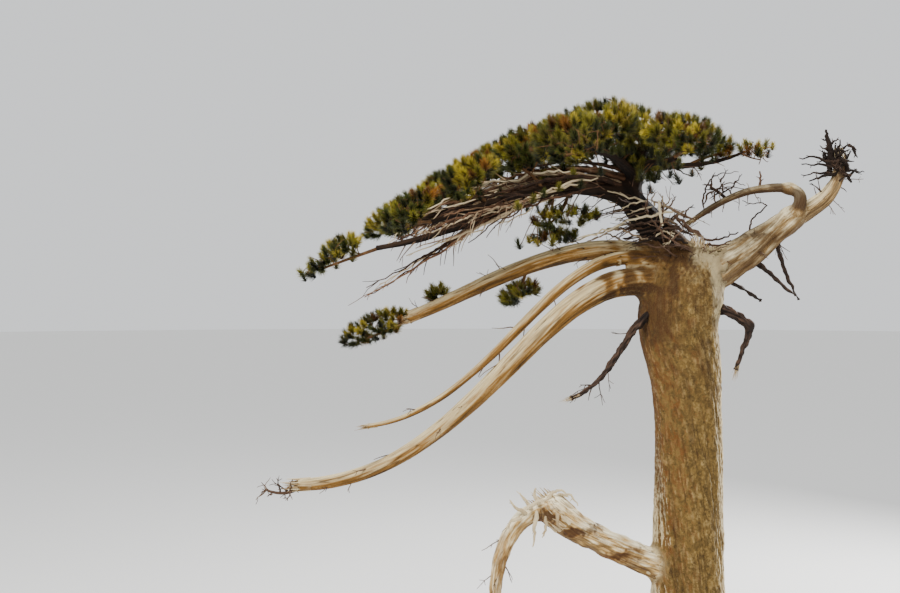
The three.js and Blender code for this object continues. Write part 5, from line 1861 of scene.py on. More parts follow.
def read_factors(tree, names, place, textures):
    """What a material is mixed from: numbers kept at the points of its mesh, and noise. Each texture has how
    far it is squeezed along the grain, its scale, its detail and its roughness."""
    factors = {
        name: add_node(tree, "ShaderNodeAttribute", attribute_name=name).outputs["Fac"] for name in names}
    for name, (squeeze, scale, detail, roughness) in textures.items():
        spot = add_node(tree, "ShaderNodeMapping", {"Vector": place, "Scale": (1, 1, squeeze)})
        factors[name] = add_node(tree, "ShaderNodeTexNoise", {
            "Vector": spot.outputs["Vector"], "Scale": scale, "Detail": detail, "Roughness": roughness,
        }).outputs["Fac"]
    return factors


def weigh(tree, factors, weights, total=0.0):
    """The sum of some factors, each times its weight."""
    for name, weight in weights.items():
        total = add_node(tree, "ShaderNodeMath", {0: factors[name], 1: weight, 2: total},
                         operation="MULTIPLY_ADD").outputs[0]
    return total


def tint(tree, factors, weights, total, stops):
    """A colour from a ramp, by a sum of factors."""
    return add_node(tree, "ShaderNodeValToRGB", {"Fac": weigh(tree, factors, weights, total)},
                    stops=stops).outputs["Color"]


def paint(tree, colour, factors, layers):
    """A colour with others laid over it. A layer has the weights of its factors, the sum where it starts and
    the sum where it is full, how much it covers then, and its colour."""
    for weights, first, full, most, over in layers:
        share = add_node(tree, "ShaderNodeMapRange", {
            "Value": weigh(tree, factors, weights), "From Min": first, "From Max": full, "To Max": most})
        over = over if isinstance(over, bpy.types.NodeSocket) else (*over, 1.0)
        colour = add_node(tree, "ShaderNodeMix", {0: share.outputs["Result"], 6: colour, 7: over},
                          data_type="RGBA").outputs[2]
    return colour


def add_splits(tree, factors):
    """Adds dark splits along the grain to the factors, a few millimetres wide and some decimetres long."""
    away = weigh(tree, factors, {"lines": 1.0}, -0.5)
    away = add_node(tree, "ShaderNodeMath", {0: away}, operation="ABSOLUTE")
    most = add_node(tree, "ShaderNodeMapRange", {
        "Value": factors["gaps"], "From Min": 0.46, "From Max": 0.58, "To Max": 0.8})
    factors["line"] = add_node(tree, "ShaderNodeMapRange", {
        "Value": away.outputs[0], "From Min": 0.020, "From Max": 0.004, "To Max": most.outputs["Result"]
    }).outputs["Result"]


def finish_material(tree, colour, height, distance, strength, roughness):
    """Ends a tree in one shader: its colour, its bump from a height, and its roughness."""
    bump = add_node(tree, "ShaderNodeBump", {"Height": height, "Distance": distance, "Strength": strength})
    shader = add_node(tree, "ShaderNodeBsdfPrincipled", {
        "Base Color": colour, "Roughness": roughness, "Normal": bump.outputs["Normal"], "IOR": 1.45,
        "Specular IOR Level": 0.25})
    add_node(tree, "ShaderNodeOutputMaterial", {"Surface": shader.outputs["BSDF"]})


# Flakes of pine bark are 10 to 25 mm across on plates of 40 to 90 mm; dust is finer, drawn 6 mm so it shows
def bark_material(name, colour, combed_colour, extra):
    """Bark of an old mountain pine: thin cork that flakes in layers, grey-buff where the sun has bleached it
    and rust-brown where it is fresh, mostly on the lee side, with painted rim light as a pale edge on both
    flanks. On the boughs it is combed smooth along the grain, with painted light that makes it cream on top
    and painted shade that makes it brown below. Stains and painted shade darken it in patches, and painted
    shade darkens the creases between limbs. Thin dark splits run along it. Dull."""
    material, tree = new_material(name)
    fresh, dark, pale, bare, flank, stain_and_painted_shade_colour = extra
    place = add_node(tree, "ShaderNodeAttribute", attribute_name="grain").outputs["Vector"]
    names = ("plate", "crack", "ridge", "weather", "lee", "flank", "combed", "bleached", "stain")
    factors = read_factors(tree, names, place, {
        "patches": (0.62, 10.0, 5.0, 0.68), "dust": (0.62, 165.0, 2.0, 0.7),
        "spots": (0.62, 30.0, 4.0, 0.75), "streaks": (0.07, 85.0, 3.0, 0.6), "bands": (0.07, 24.0, 2.0, 0.5),
        "lines": (0.09, 9.0, 3.0, 0.55), "gaps": (0.09, 15.0, 1.0, 0.5)})
    flakes = add_node(tree, "ShaderNodeTexVoronoi", {"Vector": place, "Scale": 48.0}).outputs["Color"]
    factors["flake"] = add_node(tree, "ShaderNodeSeparateColor", {"Color": flakes}).outputs["Red"]
    add_splits(tree, factors)
    scaly = tint(
        tree, factors, {"plate": 0.14, "flake": 0.22, "patches": 0.46, "spots": 0.22, "streaks": 0.06}, -0.06,
        shades(colour, 0.26, pale, 0.7, (0.10, 0.32, 0.50, 0.68, 0.92)))
    scaly = paint(tree, scaly, factors, (
        ({"patches": 1.0, "lee": 0.34, "flake": 0.16}, 0.78, 0.98, 0.8, fresh),
        # Painted rim light: a pale edge painted on the sides that face left and right
        ({"flank": 1.0, "lee": 0.13, "spots": 0.9, "stain": -0.5}, 1.30, 1.54, 0.9, flank),
    ))
    # Painted light and shade: the combed bark is painted paler where it faces up and darker where it faces
    # down
    combed = tint(
        tree, factors, {"streaks": 0.5, "bands": 0.6, "weather": 0.74, "ridge": 0.22, "stain": -0.5}, -0.52,
        shades(combed_colour, 0.14, bare, 0.92, (0.06, 0.25, 0.44, 0.64, 0.84)))
    soaked_and_painted_shade = paint(tree, (*dark, 1.0), factors, (({"streaks": 1.0}, 0.2, 0.8, 1.0, stain_and_painted_shade_colour),))
    colour = paint(tree, scaly, factors, (
        ({"combed": 1.0}, 0.0, 1.0, 1.0, combed),
        ({"bleached": 1.0}, 0.0, 1.0, 0.8, bare),
        ({"ridge": 0.55, "patches": 1.0, "flake": 0.2}, 0.98, 1.35, 0.42, pale),
        ({"crack": 1.0}, 0.15, 1.0, 0.42, dark),
        ({"line": 1.0}, 0.0, 1.0, 0.9, dark),
        # Stains and painted shade
        ({"stain": 1.0}, 0.0, 1.0, 0.9, soaked_and_painted_shade),
        ({"dust": 1.0}, 0.50, 0.30, 0.20, dark),
        ({"dust": 1.0}, 0.55, 0.75, 0.20, pale),
    ))
    height = weigh(tree, factors, {"flake": 0.5, "dust": 1.0, "streaks": 0.9})
    finish_material(tree, colour, height, 0.004, 0.7, 0.9)
    return material


# Grain of a bleached trunk is under 1 mm wide, drawn 5 mm wide so it shows at this distance
def wood_material(name, colour, extra, painted_shade_below):
    """Bare pine wood that wind and sun have silvered: fine streaks along the grain, long dark splits, brown
    patches where resin soaked it and where stains and painted shade lie, painted light that makes it paler
    on top, and painted shade that makes it browner underneath. Dull, a little smoother than bark."""
    material, tree = new_material(name)
    pale, dark, stain_and_painted_shade_colour = extra
    place = add_node(tree, "ShaderNodeAttribute", attribute_name="grain").outputs["Vector"]
    factors = read_factors(tree, ("crack", "ridge", "weather", "stain"), place, {
        "streaks": (0.07, 105.0, 4.0, 0.65), "blotches": (0.35, 8.0, 3.0, 0.6),
        "resin": (0.45, 6.5, 4.0, 0.65), "lines": (0.09, 14.0, 3.0, 0.55), "gaps": (0.09, 24.0, 1.0, 0.5)})
    add_splits(tree, factors)
    colour = tint(tree, factors, {"streaks": 1.0}, 0.0,
                  shades(colour, 0.32, pale, 0.5, (0.25, 0.40, 0.52, 0.66, 0.80)))
    # Resin patches, stains and painted shade
    soaked_and_painted_shade = paint(tree, (*stain_and_painted_shade_colour, 1.0), factors, (({"stain": 1.0, "streaks": 0.6}, 0.4, 1.2, 1.0, dark),))
    colour = paint(tree, colour, factors, (
        # Painted light on the tops, then painted shade on the undersides
        ({"weather": 0.75, "ridge": 0.35, "blotches": 0.55}, 0.80, 1.24, 1.0, pale),
        ({"weather": 1.0}, painted_shade_below, 0.05, 0.9, dark),
        ({"resin": 0.9, "stain": 0.40}, 0.52, 0.80, 0.9, soaked_and_painted_shade),
        ({"crack": 1.0}, 0.0, 1.0, 0.45, dark),
        ({"line": 1.0}, 0.0, 1.0, 0.9, dark),
        ({"streaks": 1.0}, 0.50, 0.30, 0.25, dark),
    ))
    finish_material(tree, colour, factors["streaks"], 0.003, 0.8, 0.78)
    return material


def twig_material(name, colour):
    """Thin pine twigs: scaly brown on the living ones, grey and bleached on the dead, ringed by old scars.
    The scars are drawn 14 mm apart, about as far as they are on a real twig."""
    material, tree = new_material(name)
    place = add_node(tree, "ShaderNodeTexCoord").outputs["Object"]
    factors = read_factors(tree, ("tone",), place, {
        "scales": (1, 72.0, 3.0, 0.6), "patches": (1, 9.0, 1.0, 0.5)})
    colour = tint(tree, factors, {"tone": 1.0, "scales": 0.45, "patches": 0.5}, -0.47,
                  shades(colour, 0.12, CREAM, 0.62, (0.05, 0.42, 0.95)))
    finish_material(tree, colour, factors["scales"], 0.003, 0.6, 0.85)
    return material


def needle_material(name, colour):
    """Living pine needles: stiff, waxy and softly glossed, darker toward the foot of each tuft, partly for
    the old shoot in their midst and partly as painted shade.
    Each tuft has its own shade, because the shoots are of different years."""
    material, tree = new_material(name)
    place = add_node(tree, "ShaderNodeTexCoord").outputs["Object"]
    factors = read_factors(tree, ("shade", "along"), place, {"bands": (1, 140.0, 2.0, 0.5)})
    light = weigh(tree, factors, {"shade": 1.85, "bands": 0.45}, 0.18)
    # Painted shade toward the foot of each tuft, with the old shoot's darker colour
    foot = np.array(colour) * (0.12, 0.12, 0.18)
    colour = paint(tree, (*colour, 1.0), factors, (({"along": 1.0}, 0.80, 0.20, 1.0, foot),))
    colour = add_node(tree, "ShaderNodeMix", {0: 1.0, 6: colour, 7: light}, data_type="RGBA",
                      blend_type="MULTIPLY").outputs[2]
    finish_material(tree, colour, factors["bands"], 0.001, 0.3, 0.5)
    return material


def add_inputs(tree, sockets):
    """Names a tree's inputs and gives its input node."""
    for name, kind, default in sockets:
        socket = tree.interface.new_socket(name, in_out="INPUT", socket_type="NodeSocket" + kind)
        if default is not None:
            socket.default_value = default
    tree.interface.new_socket("Geometry", in_out="OUTPUT", socket_type="NodeSocketGeometry")
    return add_node(tree, "NodeGroupInput")


def end_tree(tree, made, given):
    """Ends a tree with what it has made, as real faces in the material that it is given."""
    plain = add_node(tree, "GeometryNodeRealizeInstances", {"Geometry": made})
    coated = add_node(tree, "GeometryNodeSetMaterial", {
        "Geometry": plain.outputs["Geometry"], "Material": given.outputs["Material"]})
    add_node(tree, "NodeGroupOutput", {"Geometry": coated.outputs["Geometry"]})


def tube_tree():
    """Closed round tubes along loose lines, as thick as their points say."""
    tree = bpy.data.node_groups.new("Tubes along lines", "GeometryNodeTree")
    given = add_inputs(tree, (
        ("Lines", "Geometry", None), ("Sides", "Int", 6), ("Material", "Material", None)))
    thickness = add_node(tree, "GeometryNodeInputNamedAttribute", {"Name": "thickness"}, data_type="FLOAT")
    curves = add_node(tree, "GeometryNodeMeshToCurve", {"Mesh": given.outputs["Lines"]})
    profile = add_node(tree, "GeometryNodeCurvePrimitiveCircle", {
        "Resolution": given.outputs["Sides"], "Radius": 1.0})
    tubes = add_node(tree, "GeometryNodeCurveToMesh", {
        "Curve": curves.outputs["Curve"], "Profile Curve": profile.outputs["Curve"],
        "Scale": thickness.outputs["Attribute"], "Fill Caps": True})
    end_tree(tree, tubes.outputs["Mesh"], given)
    return tree


def tuft_tree():
    """A brush of needles round each shoot's end, which stand out at its foot and point ahead at its tip."""
    tree = bpy.data.node_groups.new("Tufts on shoots", "GeometryNodeTree")
    given = add_inputs(tree, (
        ("Shoots", "Geometry", None), ("Needle", "Object", None), ("Needles", "Int", 64),
        ("Shoot length", "Float", TUFT_STEP), ("Foot angle", "Float", 1.12), ("Tip angle", "Float", 0.2),
        ("Seed", "Int", 1), ("Material", "Material", None)))
    index = add_node(tree, "GeometryNodeInputIndex").outputs["Index"]
    share = add_node(tree, "ShaderNodeMath", {0: index, 1: given.outputs["Needles"]},
                     operation="DIVIDE").outputs[0]
    height = add_node(tree, "ShaderNodeMath", {0: share, 1: given.outputs["Shoot length"]},
                      operation="MULTIPLY").outputs[0]
    place = add_node(tree, "ShaderNodeCombineXYZ", {"Z": height}).outputs["Vector"]
    roots = add_node(tree, "GeometryNodePoints", {"Count": given.outputs["Needles"], "Position": place})
    turn = add_node(tree, "ShaderNodeMath", {0: index, 1: GOLDEN_ANGLE}, operation="MULTIPLY").outputs[0]
    lean = add_node(tree, "ShaderNodeMapRange", {
        "Value": share, "To Min": given.outputs["Foot angle"], "To Max": given.outputs["Tip angle"]})
    jitter = add_node(tree, "FunctionNodeRandomValue", {
        "Min": [-turned for turned in NEEDLE_STRAY], "Max": NEEDLE_STRAY, "ID": index,
        "Seed": given.outputs["Seed"]}, data_type="FLOAT_VECTOR").outputs["Value"]
    stance = add_node(tree, "ShaderNodeCombineXYZ", {"Y": lean.outputs["Result"], "Z": turn})
    stance = add_node(tree, "ShaderNodeVectorMath", {0: stance.outputs["Vector"], 1: jitter},
                      operation="ADD").outputs["Vector"]
    stance = add_node(tree, "FunctionNodeEulerToRotation", {"Euler": stance}).outputs["Rotation"]
    length = add_node(tree, "FunctionNodeRandomValue", {
        2: SHORTEST_NEEDLE, 3: LONGEST_NEEDLE, "ID": index, "Seed": given.outputs["Seed"]},
        data_type="FLOAT").outputs[1]
    needle = add_node(tree, "GeometryNodeObjectInfo", {"Object": given.outputs["Needle"]}).outputs["Geometry"]
    needles = add_node(tree, "GeometryNodeInstanceOnPoints", {
        "Points": roots.outputs["Points"], "Instance": needle, "Rotation": stance, "Scale": length})
    brush = add_node(tree, "GeometryNodeRealizeInstances", {"Geometry": needles.outputs["Instances"]})
    aim, spin, size = (
        add_node(tree, "GeometryNodeInputNamedAttribute", {"Name": name}, data_type=kind).outputs["Attribute"]
        for name, kind in (("aim", "FLOAT_VECTOR"), ("spin", "FLOAT"), ("size", "FLOAT")))
    around = add_node(tree, "ShaderNodeCombineXYZ", {"Z": spin}).outputs["Vector"]
    around = add_node(tree, "FunctionNodeEulerToRotation", {"Euler": around}).outputs["Rotation"]
    facing = add_node(tree, "FunctionNodeAlignRotationToVector", {"Vector": aim}, axis="Z")
    facing = facing.outputs["Rotation"]
    facing = add_node(tree, "FunctionNodeRotateRotation", {
        "Rotation": facing, "Rotate By": around}, rotation_space="LOCAL").outputs["Rotation"]
    points = add_node(tree, "GeometryNodeMeshToPoints", {"Mesh": given.outputs["Shoots"]})
    tufts = add_node(tree, "GeometryNodeInstanceOnPoints", {
        "Points": points.outputs["Points"], "Instance": brush.outputs["Geometry"], "Rotation": facing,
        "Scale": size})
    end_tree(tree, tufts.outputs["Instances"], given)
    return tree


def grow_from_tree(name, source, tree, values):
    """A plain mesh object made by a Geometry Nodes tree on a source object, which is then removed."""
    modifier = source.modifiers.new("Growth", "NODES")
    modifier.node_group = tree
    sockets = {item.name: item.identifier for item in tree.interface.items_tree if item.in_out == "INPUT"}
    for key, value in values.items():
        modifier[sockets[key]] = value
    source.update_tag()
    depsgraph = bpy.context.evaluated_depsgraph_get()
    grown = source.evaluated_get(depsgraph)
    mesh = bpy.data.meshes.new_from_object(grown, preserve_all_data_layers=True, depsgraph=depsgraph)
    if not len(mesh.polygons):
        raise RuntimeError(f"{name} has no faces")
    bpy.data.objects.remove(source)
    return new_object(name, mesh)


def finish_piece(made, nodes):
    """Fixes a piece to the frame: it rides with the one body and stands for its solids."""
    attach(made, "root")
    if nodes:
        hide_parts(*nodes)
    triangles = sum(len(face.vertices) - 2 for face in made.data.polygons)
    if triangles >= MOST_TRIANGLES:
        raise RuntimeError(f"{made.name} has {triangles} triangles")


def add_skin(name, limbs, stumps, size, relief, material, twist=TWIST, fillet=FILLET):
    """A skin over whole limbs and the stumps of others, as a piece that stands for the whole ones."""
    parts = [Part(LIMBS[limb_name]) for limb_name in limbs]
    parts += [Part(LIMBS[limb_name], stump=True) for limb_name in stumps]
    mesh = skin_mesh(parts, size, relief, twist, fillet)
    mesh.materials.append(material)
    finish_piece(new_object(name, mesh), limbs)


def add_twigs(name, paths, sides, material, nodes):
    """Twigs as one piece, grown as tubes along their paths."""
    points = np.concatenate([path.points for path in paths])
    counts = [len(path.points) for path in paths]
    starts = np.concatenate(([0], np.cumsum(counts)[:-1]))
    edges = [(start + i, start + i + 1) for start, count in zip(starts, counts) for i in range(count - 1)]
    mesh = bpy.data.meshes.new(name + "_lines")
    mesh.from_pydata(points.tolist(), edges, [])
    store(mesh, "thickness", np.concatenate([path.radii for path in paths]))
    store(mesh, "tone", np.repeat([path.tone for path in paths], counts))
    source = new_object(name + "_lines", mesh)
    made = grow_from_tree(name, source, tube_tree(), {"Sides": sides, "Material": material})
    made.data.shade_smooth()
    finish_piece(made, nodes)


def needle_object(length, width):
    """One needle: a closed spike of four faces, thickest at its sheath."""
    turns = [2 * math.pi * k / 3 for k in range(3)]
    points = [(width / 2 * math.cos(turn), width / 2 * math.sin(turn), 0) for turn in turns]
    points.append((0, 0, length))
    mesh = bpy.data.meshes.new("needle")
    mesh.from_pydata(points, [], [(2, 1, 0), (0, 1, 3), (1, 2, 3), (2, 0, 3)])
    store(mesh, "along", np.array((0, 0, 0, 1.0)))
    return new_object("needle", mesh)


def add_tufts(name, tufts, needle, needles, seed, material, nodes):
    """Tufts of one tint as one piece, grown as brushes on their shoots."""
    draw = random_from(seed)
    mesh = bpy.data.meshes.new(name + "_shoots")
    mesh.from_pydata([tuft.base.tolist() for tuft in tufts], [], [])
    store(mesh, "aim", np.array([tuft.aim for tuft in tufts]))
    store(mesh, "size", np.array([tuft.size for tuft in tufts]))
    store(mesh, "spin", np.array([2 * math.pi * draw() for _ in tufts]))
    store(mesh, "shade", np.array([draw() for _ in tufts]))
    source = new_object(name + "_shoots", mesh)
    made = grow_from_tree(name, source, tuft_tree(), {
        "Needle": needle, "Needles": needles, "Seed": seed, "Material": material})
    finish_piece(made, nodes)


def colour_setting(name, description, code):
    """A colour that a user may change."""
    return bpy.props.FloatVectorProperty(
        name=name, description=description, default=linear(code)[:3], min=0, max=1, subtype="COLOR")


def length_setting(name, description, default, **limits):
    """A length that a user may change."""
    return bpy.props.FloatProperty(
        name=name, description=description, default=default, unit="LENGTH", **limits)


class PineBark(bpy.types.PropertyGroup):
    """Sizes and colours of the bark."""

    trunk_detail: length_setting(
        "Trunk detail", "Size of the squares that the trunk's skin is made of", 0.0178, min=0.012, max=0.05)
    limb_detail: length_setting(
        "Limb detail", "Size of the squares that a bough's skin is made of", 0.0118, min=0.009, max=0.04)
    twist: bpy.props.FloatProperty(
        name="Spiral grain", description="How far the grain turns round the trunk in a metre",
        default=TWIST, subtype="ANGLE")
    trunk: colour_setting("Trunk", "Middle colour of the trunk's scaly bark", "#70572a")
    boughs: colour_setting("Boughs", "Middle colour of the long boughs' combed bark", "#835c27")
    # Painted shade: the limbs inside the crown are painted far darker than the trunk, for the shade they
    # stand in
    crown_painted_shade: colour_setting("Crown limbs", "Middle colour of the dark bark inside the crown", "#1c1108")
    fresh: colour_setting("Fresh bark", "Colour of the bark where it has flaked off lately", "#5a300c")


class PineWood(bpy.types.PropertyGroup):
    """Sizes and colours of the bare wood."""

    snag_detail: length_setting(
        "Snag detail", "Size of the squares that the snag's skin is made of", 0.0096, min=0.008, max=0.04)
    shard_length: length_setting("Shard length", "Length of the splinters at broken ends", 0.30)
    snag: colour_setting("Snag", "Middle colour of the bleached wood", "#98794c")
    dead_limb: colour_setting("Dead limb", "Middle colour of the low dead limb", "#bf9a5e")
    dead_branches: colour_setting("Dead branches", "Middle colour of the small dead branches", "#33241a")
    bare_branches: colour_setting("Bare branches", "Middle colour of the branches under the crown", "#664630")
    dead_twigs: colour_setting("Dead twigs", "Middle colour of the dead twigs", "#574030")


class PineFoliage(bpy.types.PropertyGroup):
    """Sizes and colours of the needles and living twigs."""

    needle_length: length_setting("Needle length", "Length of one needle", 0.088)
    needle_width: length_setting(
        "Needle width", "Width of one needle, larger than life so that it shows", 0.0072)
    needles: bpy.props.IntProperty(
        name="Needles", description="Needles in one tuft", default=98, min=8, max=160)
    twig_sides: bpy.props.IntProperty(
        name="Twig sides", description="Sides of a twig's tube", default=5, min=3, max=12)
    twigs: colour_setting("Living twigs", "Middle colour of the living twigs", "#6a4a2c")
    olive: colour_setting("Olive needles", "Colour of most needles", "#666018")
    # Painted shade: the dark needles are a darker copy of the needles, for tufts in the shade
    dark: colour_setting("Dark needles", "Colour of the needles in the shade", "#32360f")
    yellow_green: colour_setting("Young needles", "Colour of the youngest needles", "#908024")
    rust: colour_setting("Old needles", "Colour of the oldest needles", "#6e4614")


class PineStage(bpy.types.PropertyGroup):
    """The floor, the lights and the camera."""

    floor_radius: length_setting("Floor radius", "How far the plain floor reaches", 150.0)
    floor: colour_setting("Floor", "Colour of the plain floor", "#eeedea")
    even_light: bpy.props.FloatProperty(
        name="Even light", description="Strength of the light from all sides", default=1.15, min=0)
    key: bpy.props.FloatProperty(
        name="Key light", description="Power of the soft light above and in front", default=2300.0,
        unit="POWER")
    rim: bpy.props.FloatProperty(
        name="Rim light", description="Power of the soft light behind on the right", default=3200.0,
        unit="POWER")


def pine_bark(bark):
    """The one bark of the trunk and the long boughs."""
    made = bpy.data.materials.get("pine_bark")
    extra = [bark.fresh, *plain_shades(BARK_SHADES)]
    return made or bark_material("pine_bark", bark.trunk, bark.boughs, extra)


def add_splinters(name, shards, bark_name, code):
    """Shards of broken wood as one piece, with a material of their own."""
    add_twigs(name, shards, SPLINTER_SIDES, twig_material(bark_name, linear(code)[:3]), ())


class PINE_OT_trunk(bpy.types.Operator):
    """Lay bark over the trunk and the starts of its limbs, with the splinters of its broken top"""

    bl_idname = "pine.trunk"
    bl_label = "Trunk"

    def execute(self, context):
        """Builds the trunk's bark and its splinters."""
        bark = context.scene.pine_bark
        add_skin("trunk_bark", TRUNK_SKIN, TRUNK_STUMPS, bark.trunk_detail, TRUNK_RELIEF, pine_bark(bark),
                 bark.twist, TRUNK_FILLET)
        shards = grow_splinters(TRUNK_SKIN, TOP_SHARDS * context.scene.pine_wood.shard_length)
        add_splinters("trunk_splinters", shards, "split_wood", SPLIT_WOOD)
        return {"FINISHED"}


class PINE_OT_boughs(bpy.types.Operator):
    """Lay smooth, ridged bark over the long boughs and the limbs inside the crown"""

    bl_idname = "pine.boughs"
    bl_label = "Boughs"

    def execute(self, context):
        """Builds the skins of the boughs and of the crown's limbs."""
        bark = context.scene.pine_bark
        # The crown's bark is a darker copy of the bark, as painted shade
        extra = [np.array(bark.crown_painted_shade) * share for share in CROWN_SHARES]
        crown_bark = bark_material("crown_bark", bark.crown_painted_shade, bark.crown_painted_shade, extra)
        add_skin("bough_bark", BOUGH_SKIN, (), bark.limb_detail, BOUGH_RELIEF, pine_bark(bark))
        add_skin("crown_limb_bark", CROWN_SKIN, (), bark.limb_detail, CROWN_RELIEF, crown_bark)
        return {"FINISHED"}


class PINE_OT_snag(bpy.types.Operator):
    """Build the bleached limb on the right with its upright snag and its arch"""

    bl_idname = "pine.snag"
    bl_label = "Snag"

    def execute(self, context):
        """Builds the skin of the bleached wood."""
        settings = context.scene.pine_wood
        wood = wood_material("bleached_wood", settings.snag, plain_shades(SNAG_SHADES), PAINTED_SHADE_BELOW)
        add_skin("snag_wood", SNAG_SKIN, (), settings.snag_detail, SNAG_RELIEF, wood, SNAG_TWIST)
        shards = grow_splinters(("right_snag", "arch_return"), settings.shard_length)
        add_splinters("snag_splinters", shards, "grey_split_wood", GREY_SPLIT_WOOD)
        return {"FINISHED"}


class PINE_OT_dead_limbs(bpy.types.Operator):
    """Build the dead limbs that hang from the trunk and the snag"""

    bl_idname = "pine.dead_limbs"
    bl_label = "Dead limbs"

    def execute(self, context):
        """Builds the skins of the dead limbs."""
        settings = context.scene.pine_wood
        hanging = wood_material(
            "dead_limb_wood", settings.dead_limb, plain_shades(DEAD_LIMB_SHADES), PAINTED_SHADE_BELOW)
        shade = np.array(settings.dead_branches)
        extra = [share * shade for share in DEAD_BRANCH_SHARES]
        spikes = wood_material("dead_branch_wood", DEAD_BRANCH_LIGHT * shade, extra, SPIKES_PAINTED_SHADE_BELOW)
        add_skin("dead_limb_wood", HANGING_SKIN, (), DEAD_LIMB_DETAIL, DEAD_RELIEF, hanging)
        add_skin("dead_branch_wood", SPIKE_SKIN, (), DEAD_BRANCH_DETAIL, SPIKE_RELIEF, spikes)
        shards = grow_splinters(TORN_LIMBS, settings.shard_length) + grow_loose(placed(ELBOW_SHARDS))
        add_splinters("torn_ends", shards, "torn_wood", TORN_WOOD)
        return {"FINISHED"}


class PINE_OT_dead_twigs(bpy.types.Operator):
    """Grow the bare branches under the crown and the dead twigs all over the tree"""

    bl_idname = "pine.dead_twigs"
    bl_label = "Dead twigs"

    def execute(self, context):
        """Builds the bare branches and the dead twigs."""
        sides = context.scene.pine_foliage.twig_sides
        raft = twig_material("bare_branch_bark", context.scene.pine_wood.bare_branches)
        dead = twig_material("dead_twig_wood", context.scene.pine_wood.dead_twigs)
        bare = [own.name for own in MASSES if own.twigs]
        branches = grow_raft() + grow_loose(placed(LOOSE_BRANCHES))
        add_twigs("bare_branches", branches, sides + 1, raft, ())
        near_side = placed(TANGLE)
        far_side = [(*row, bends * FAR_SIDE + FAR_MOVE) for *row, bends in near_side]
        loose = grow_loose(near_side + far_side + placed(LOOSE_TWIGS))
        add_twigs("dead_twigs", grow_dead() + loose, sides, dead, bare)
        return {"FINISHED"}


class PINE_OT_foliage(bpy.types.Operator):
    """Grow the living twigs of every foliage mass and a tuft of needles on each shoot"""

    bl_idname = "pine.foliage"
    bl_label = "Foliage"

    def execute(self, context):
        """Builds the living twigs and the tufts, one tint after another."""
        foliage = context.scene.pine_foliage
        paths, tufts = grow_crown()
        leafy = [own.name for own in MASSES if not own.twigs]
        living = twig_material("living_twig_bark", foliage.twigs)
        add_twigs("living_twigs", paths, foliage.twig_sides, living, leafy)
        needle = needle_object(foliage.needle_length, foliage.needle_width)
        most = MOST_TUFT_TRIANGLES // (NEEDLE_FACES * foliage.needles)
        for k, tint in enumerate(TINTS):
            material = needle_material("needles_" + tint, getattr(foliage, tint))
            chosen = [tuft for tuft in tufts if tuft.tint == tint]
            for part in range(math.ceil(len(chosen) / most)):
                some = chosen[part * most:(part + 1) * most]
                name = f"needles_{tint}_{part + 1}"
                add_tufts(name, some, needle, foliage.needles, TUFT_SEEDS * k + part + 1, material, leafy)
        bpy.data.objects.remove(needle)
        return {"FINISHED"}


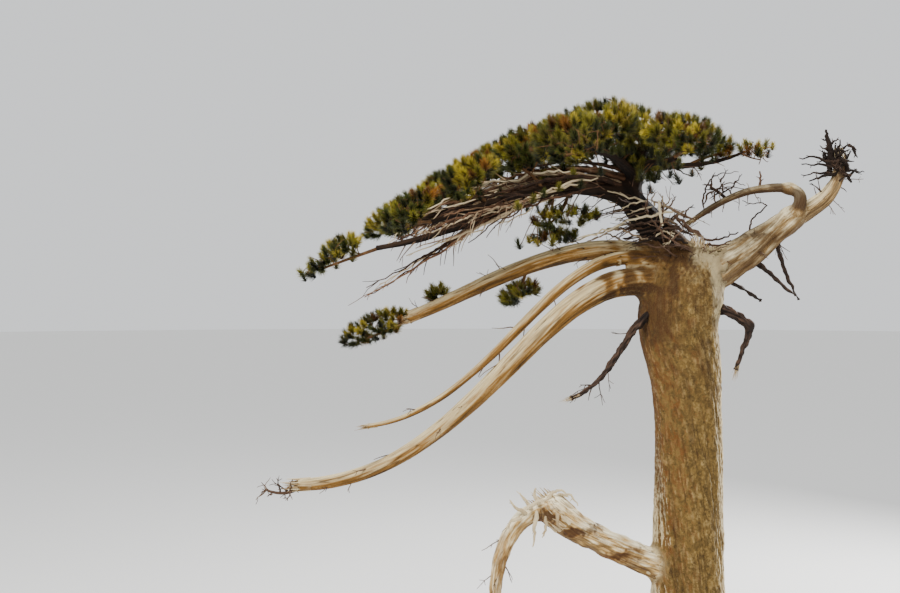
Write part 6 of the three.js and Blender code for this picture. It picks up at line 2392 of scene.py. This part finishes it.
class PINE_OT_stage(bpy.types.Operator):
    """Lay the plain floor, hang the soft lights and stand the camera"""

    bl_idname = "pine.stage"
    bl_label = "Stage"

    def execute(self, context):
        """Builds the floor, the lights and the camera."""
        stage = context.scene.pine_stage
        radius = stage.floor_radius
        turns = [2 * math.pi * k / FLOOR_SIDES for k in range(FLOOR_SIDES)]
        ring = [(radius * math.cos(turn), radius * math.sin(turn), 0) for turn in turns]
        mesh = bpy.data.meshes.new("floor")
        mesh.from_pydata(ring, [], [tuple(range(FLOOR_SIDES))])
        material, tree = new_material("plain_floor")
        shader = add_node(tree, "ShaderNodeBsdfPrincipled", {
            "Base Color": (*stage.floor, 1.0), "Roughness": FLOOR_ROUGHNESS})
        add_node(tree, "ShaderNodeOutputMaterial", {"Surface": shader.outputs["BSDF"]})
        mesh.materials.append(material)
        new_object("floor", mesh)
        world = bpy.data.worlds.new("pale_studio")
        world.use_nodes = True
        background = world.node_tree.nodes["Background"]
        background.inputs["Color"].default_value = linear(WORLD_COLOUR)
        background.inputs["Strength"].default_value = stage.even_light
        context.scene.world = world
        for name, place, target, size in LIGHTS:
            light = bpy.data.lights.new(name, "AREA")
            light.shape, light.size, light.energy = "DISK", size, getattr(stage, name)
            lamp = new_object(name, light)
            lamp.location = place
            lamp.rotation_euler = (Vector(target) - Vector(place)).to_track_quat("-Z", "Y").to_euler()
        camera = bpy.data.cameras.new("camera")
        camera.sensor_fit, camera.sensor_width = "HORIZONTAL", SENSOR_WIDTH
        camera.lens = FOCAL_PIXELS / PHOTO_PIXELS * SENSOR_WIDTH
        camera.clip_end = CAMERA_FAR
        stand = new_object("camera", camera)
        stand.location = CAMERA_PLACE
        stand.rotation_euler = CAMERA_TURN
        context.scene.camera = stand
        return {"FINISHED"}


OPERATORS = (PINE_OT_trunk, PINE_OT_boughs, PINE_OT_snag, PINE_OT_dead_limbs, PINE_OT_dead_twigs,
             PINE_OT_foliage, PINE_OT_stage)


class PINE_PT_panel(bpy.types.Panel):
    """Lists the pine's pieces and their sizes"""

    bl_idname = "PINE_PT_panel"
    bl_label = "Windswept pine"
    bl_space_type = "VIEW_3D"
    bl_region_type = "UI"
    bl_category = "Pine"

    def draw(self, context):
        """Draws the settings and a button for each operator."""
        for group in (getattr(context.scene, name) for name in GROUPS):
            box = self.layout.box()
            for name in group.__annotations__:
                box.prop(group, name)
        for operator in OPERATORS:
            self.layout.operator(operator.bl_idname)


GROUPS = {"pine_bark": PineBark, "pine_wood": PineWood, "pine_foliage": PineFoliage, "pine_stage": PineStage}


def register():
    """Adds the settings, the operators and the panel to Blender."""
    for name, group in GROUPS.items():
        bpy.utils.register_class(group)
        setattr(bpy.types.Scene, name, bpy.props.PointerProperty(type=group))
    for kind in (*OPERATORS, PINE_PT_panel):
        bpy.utils.register_class(kind)


def unregister():
    """Takes them out again."""
    for kind in (PINE_PT_panel, *reversed(OPERATORS)):
        bpy.utils.unregister_class(kind)
    for name, group in GROUPS.items():
        delattr(bpy.types.Scene, name)
        bpy.utils.unregister_class(group)


def main():
    """Builds every piece."""
    register()
    for operator in OPERATORS:
        family, name = operator.bl_idname.split(".")
        getattr(getattr(bpy.ops, family), name)()


if __name__ == "__main__":
    main()
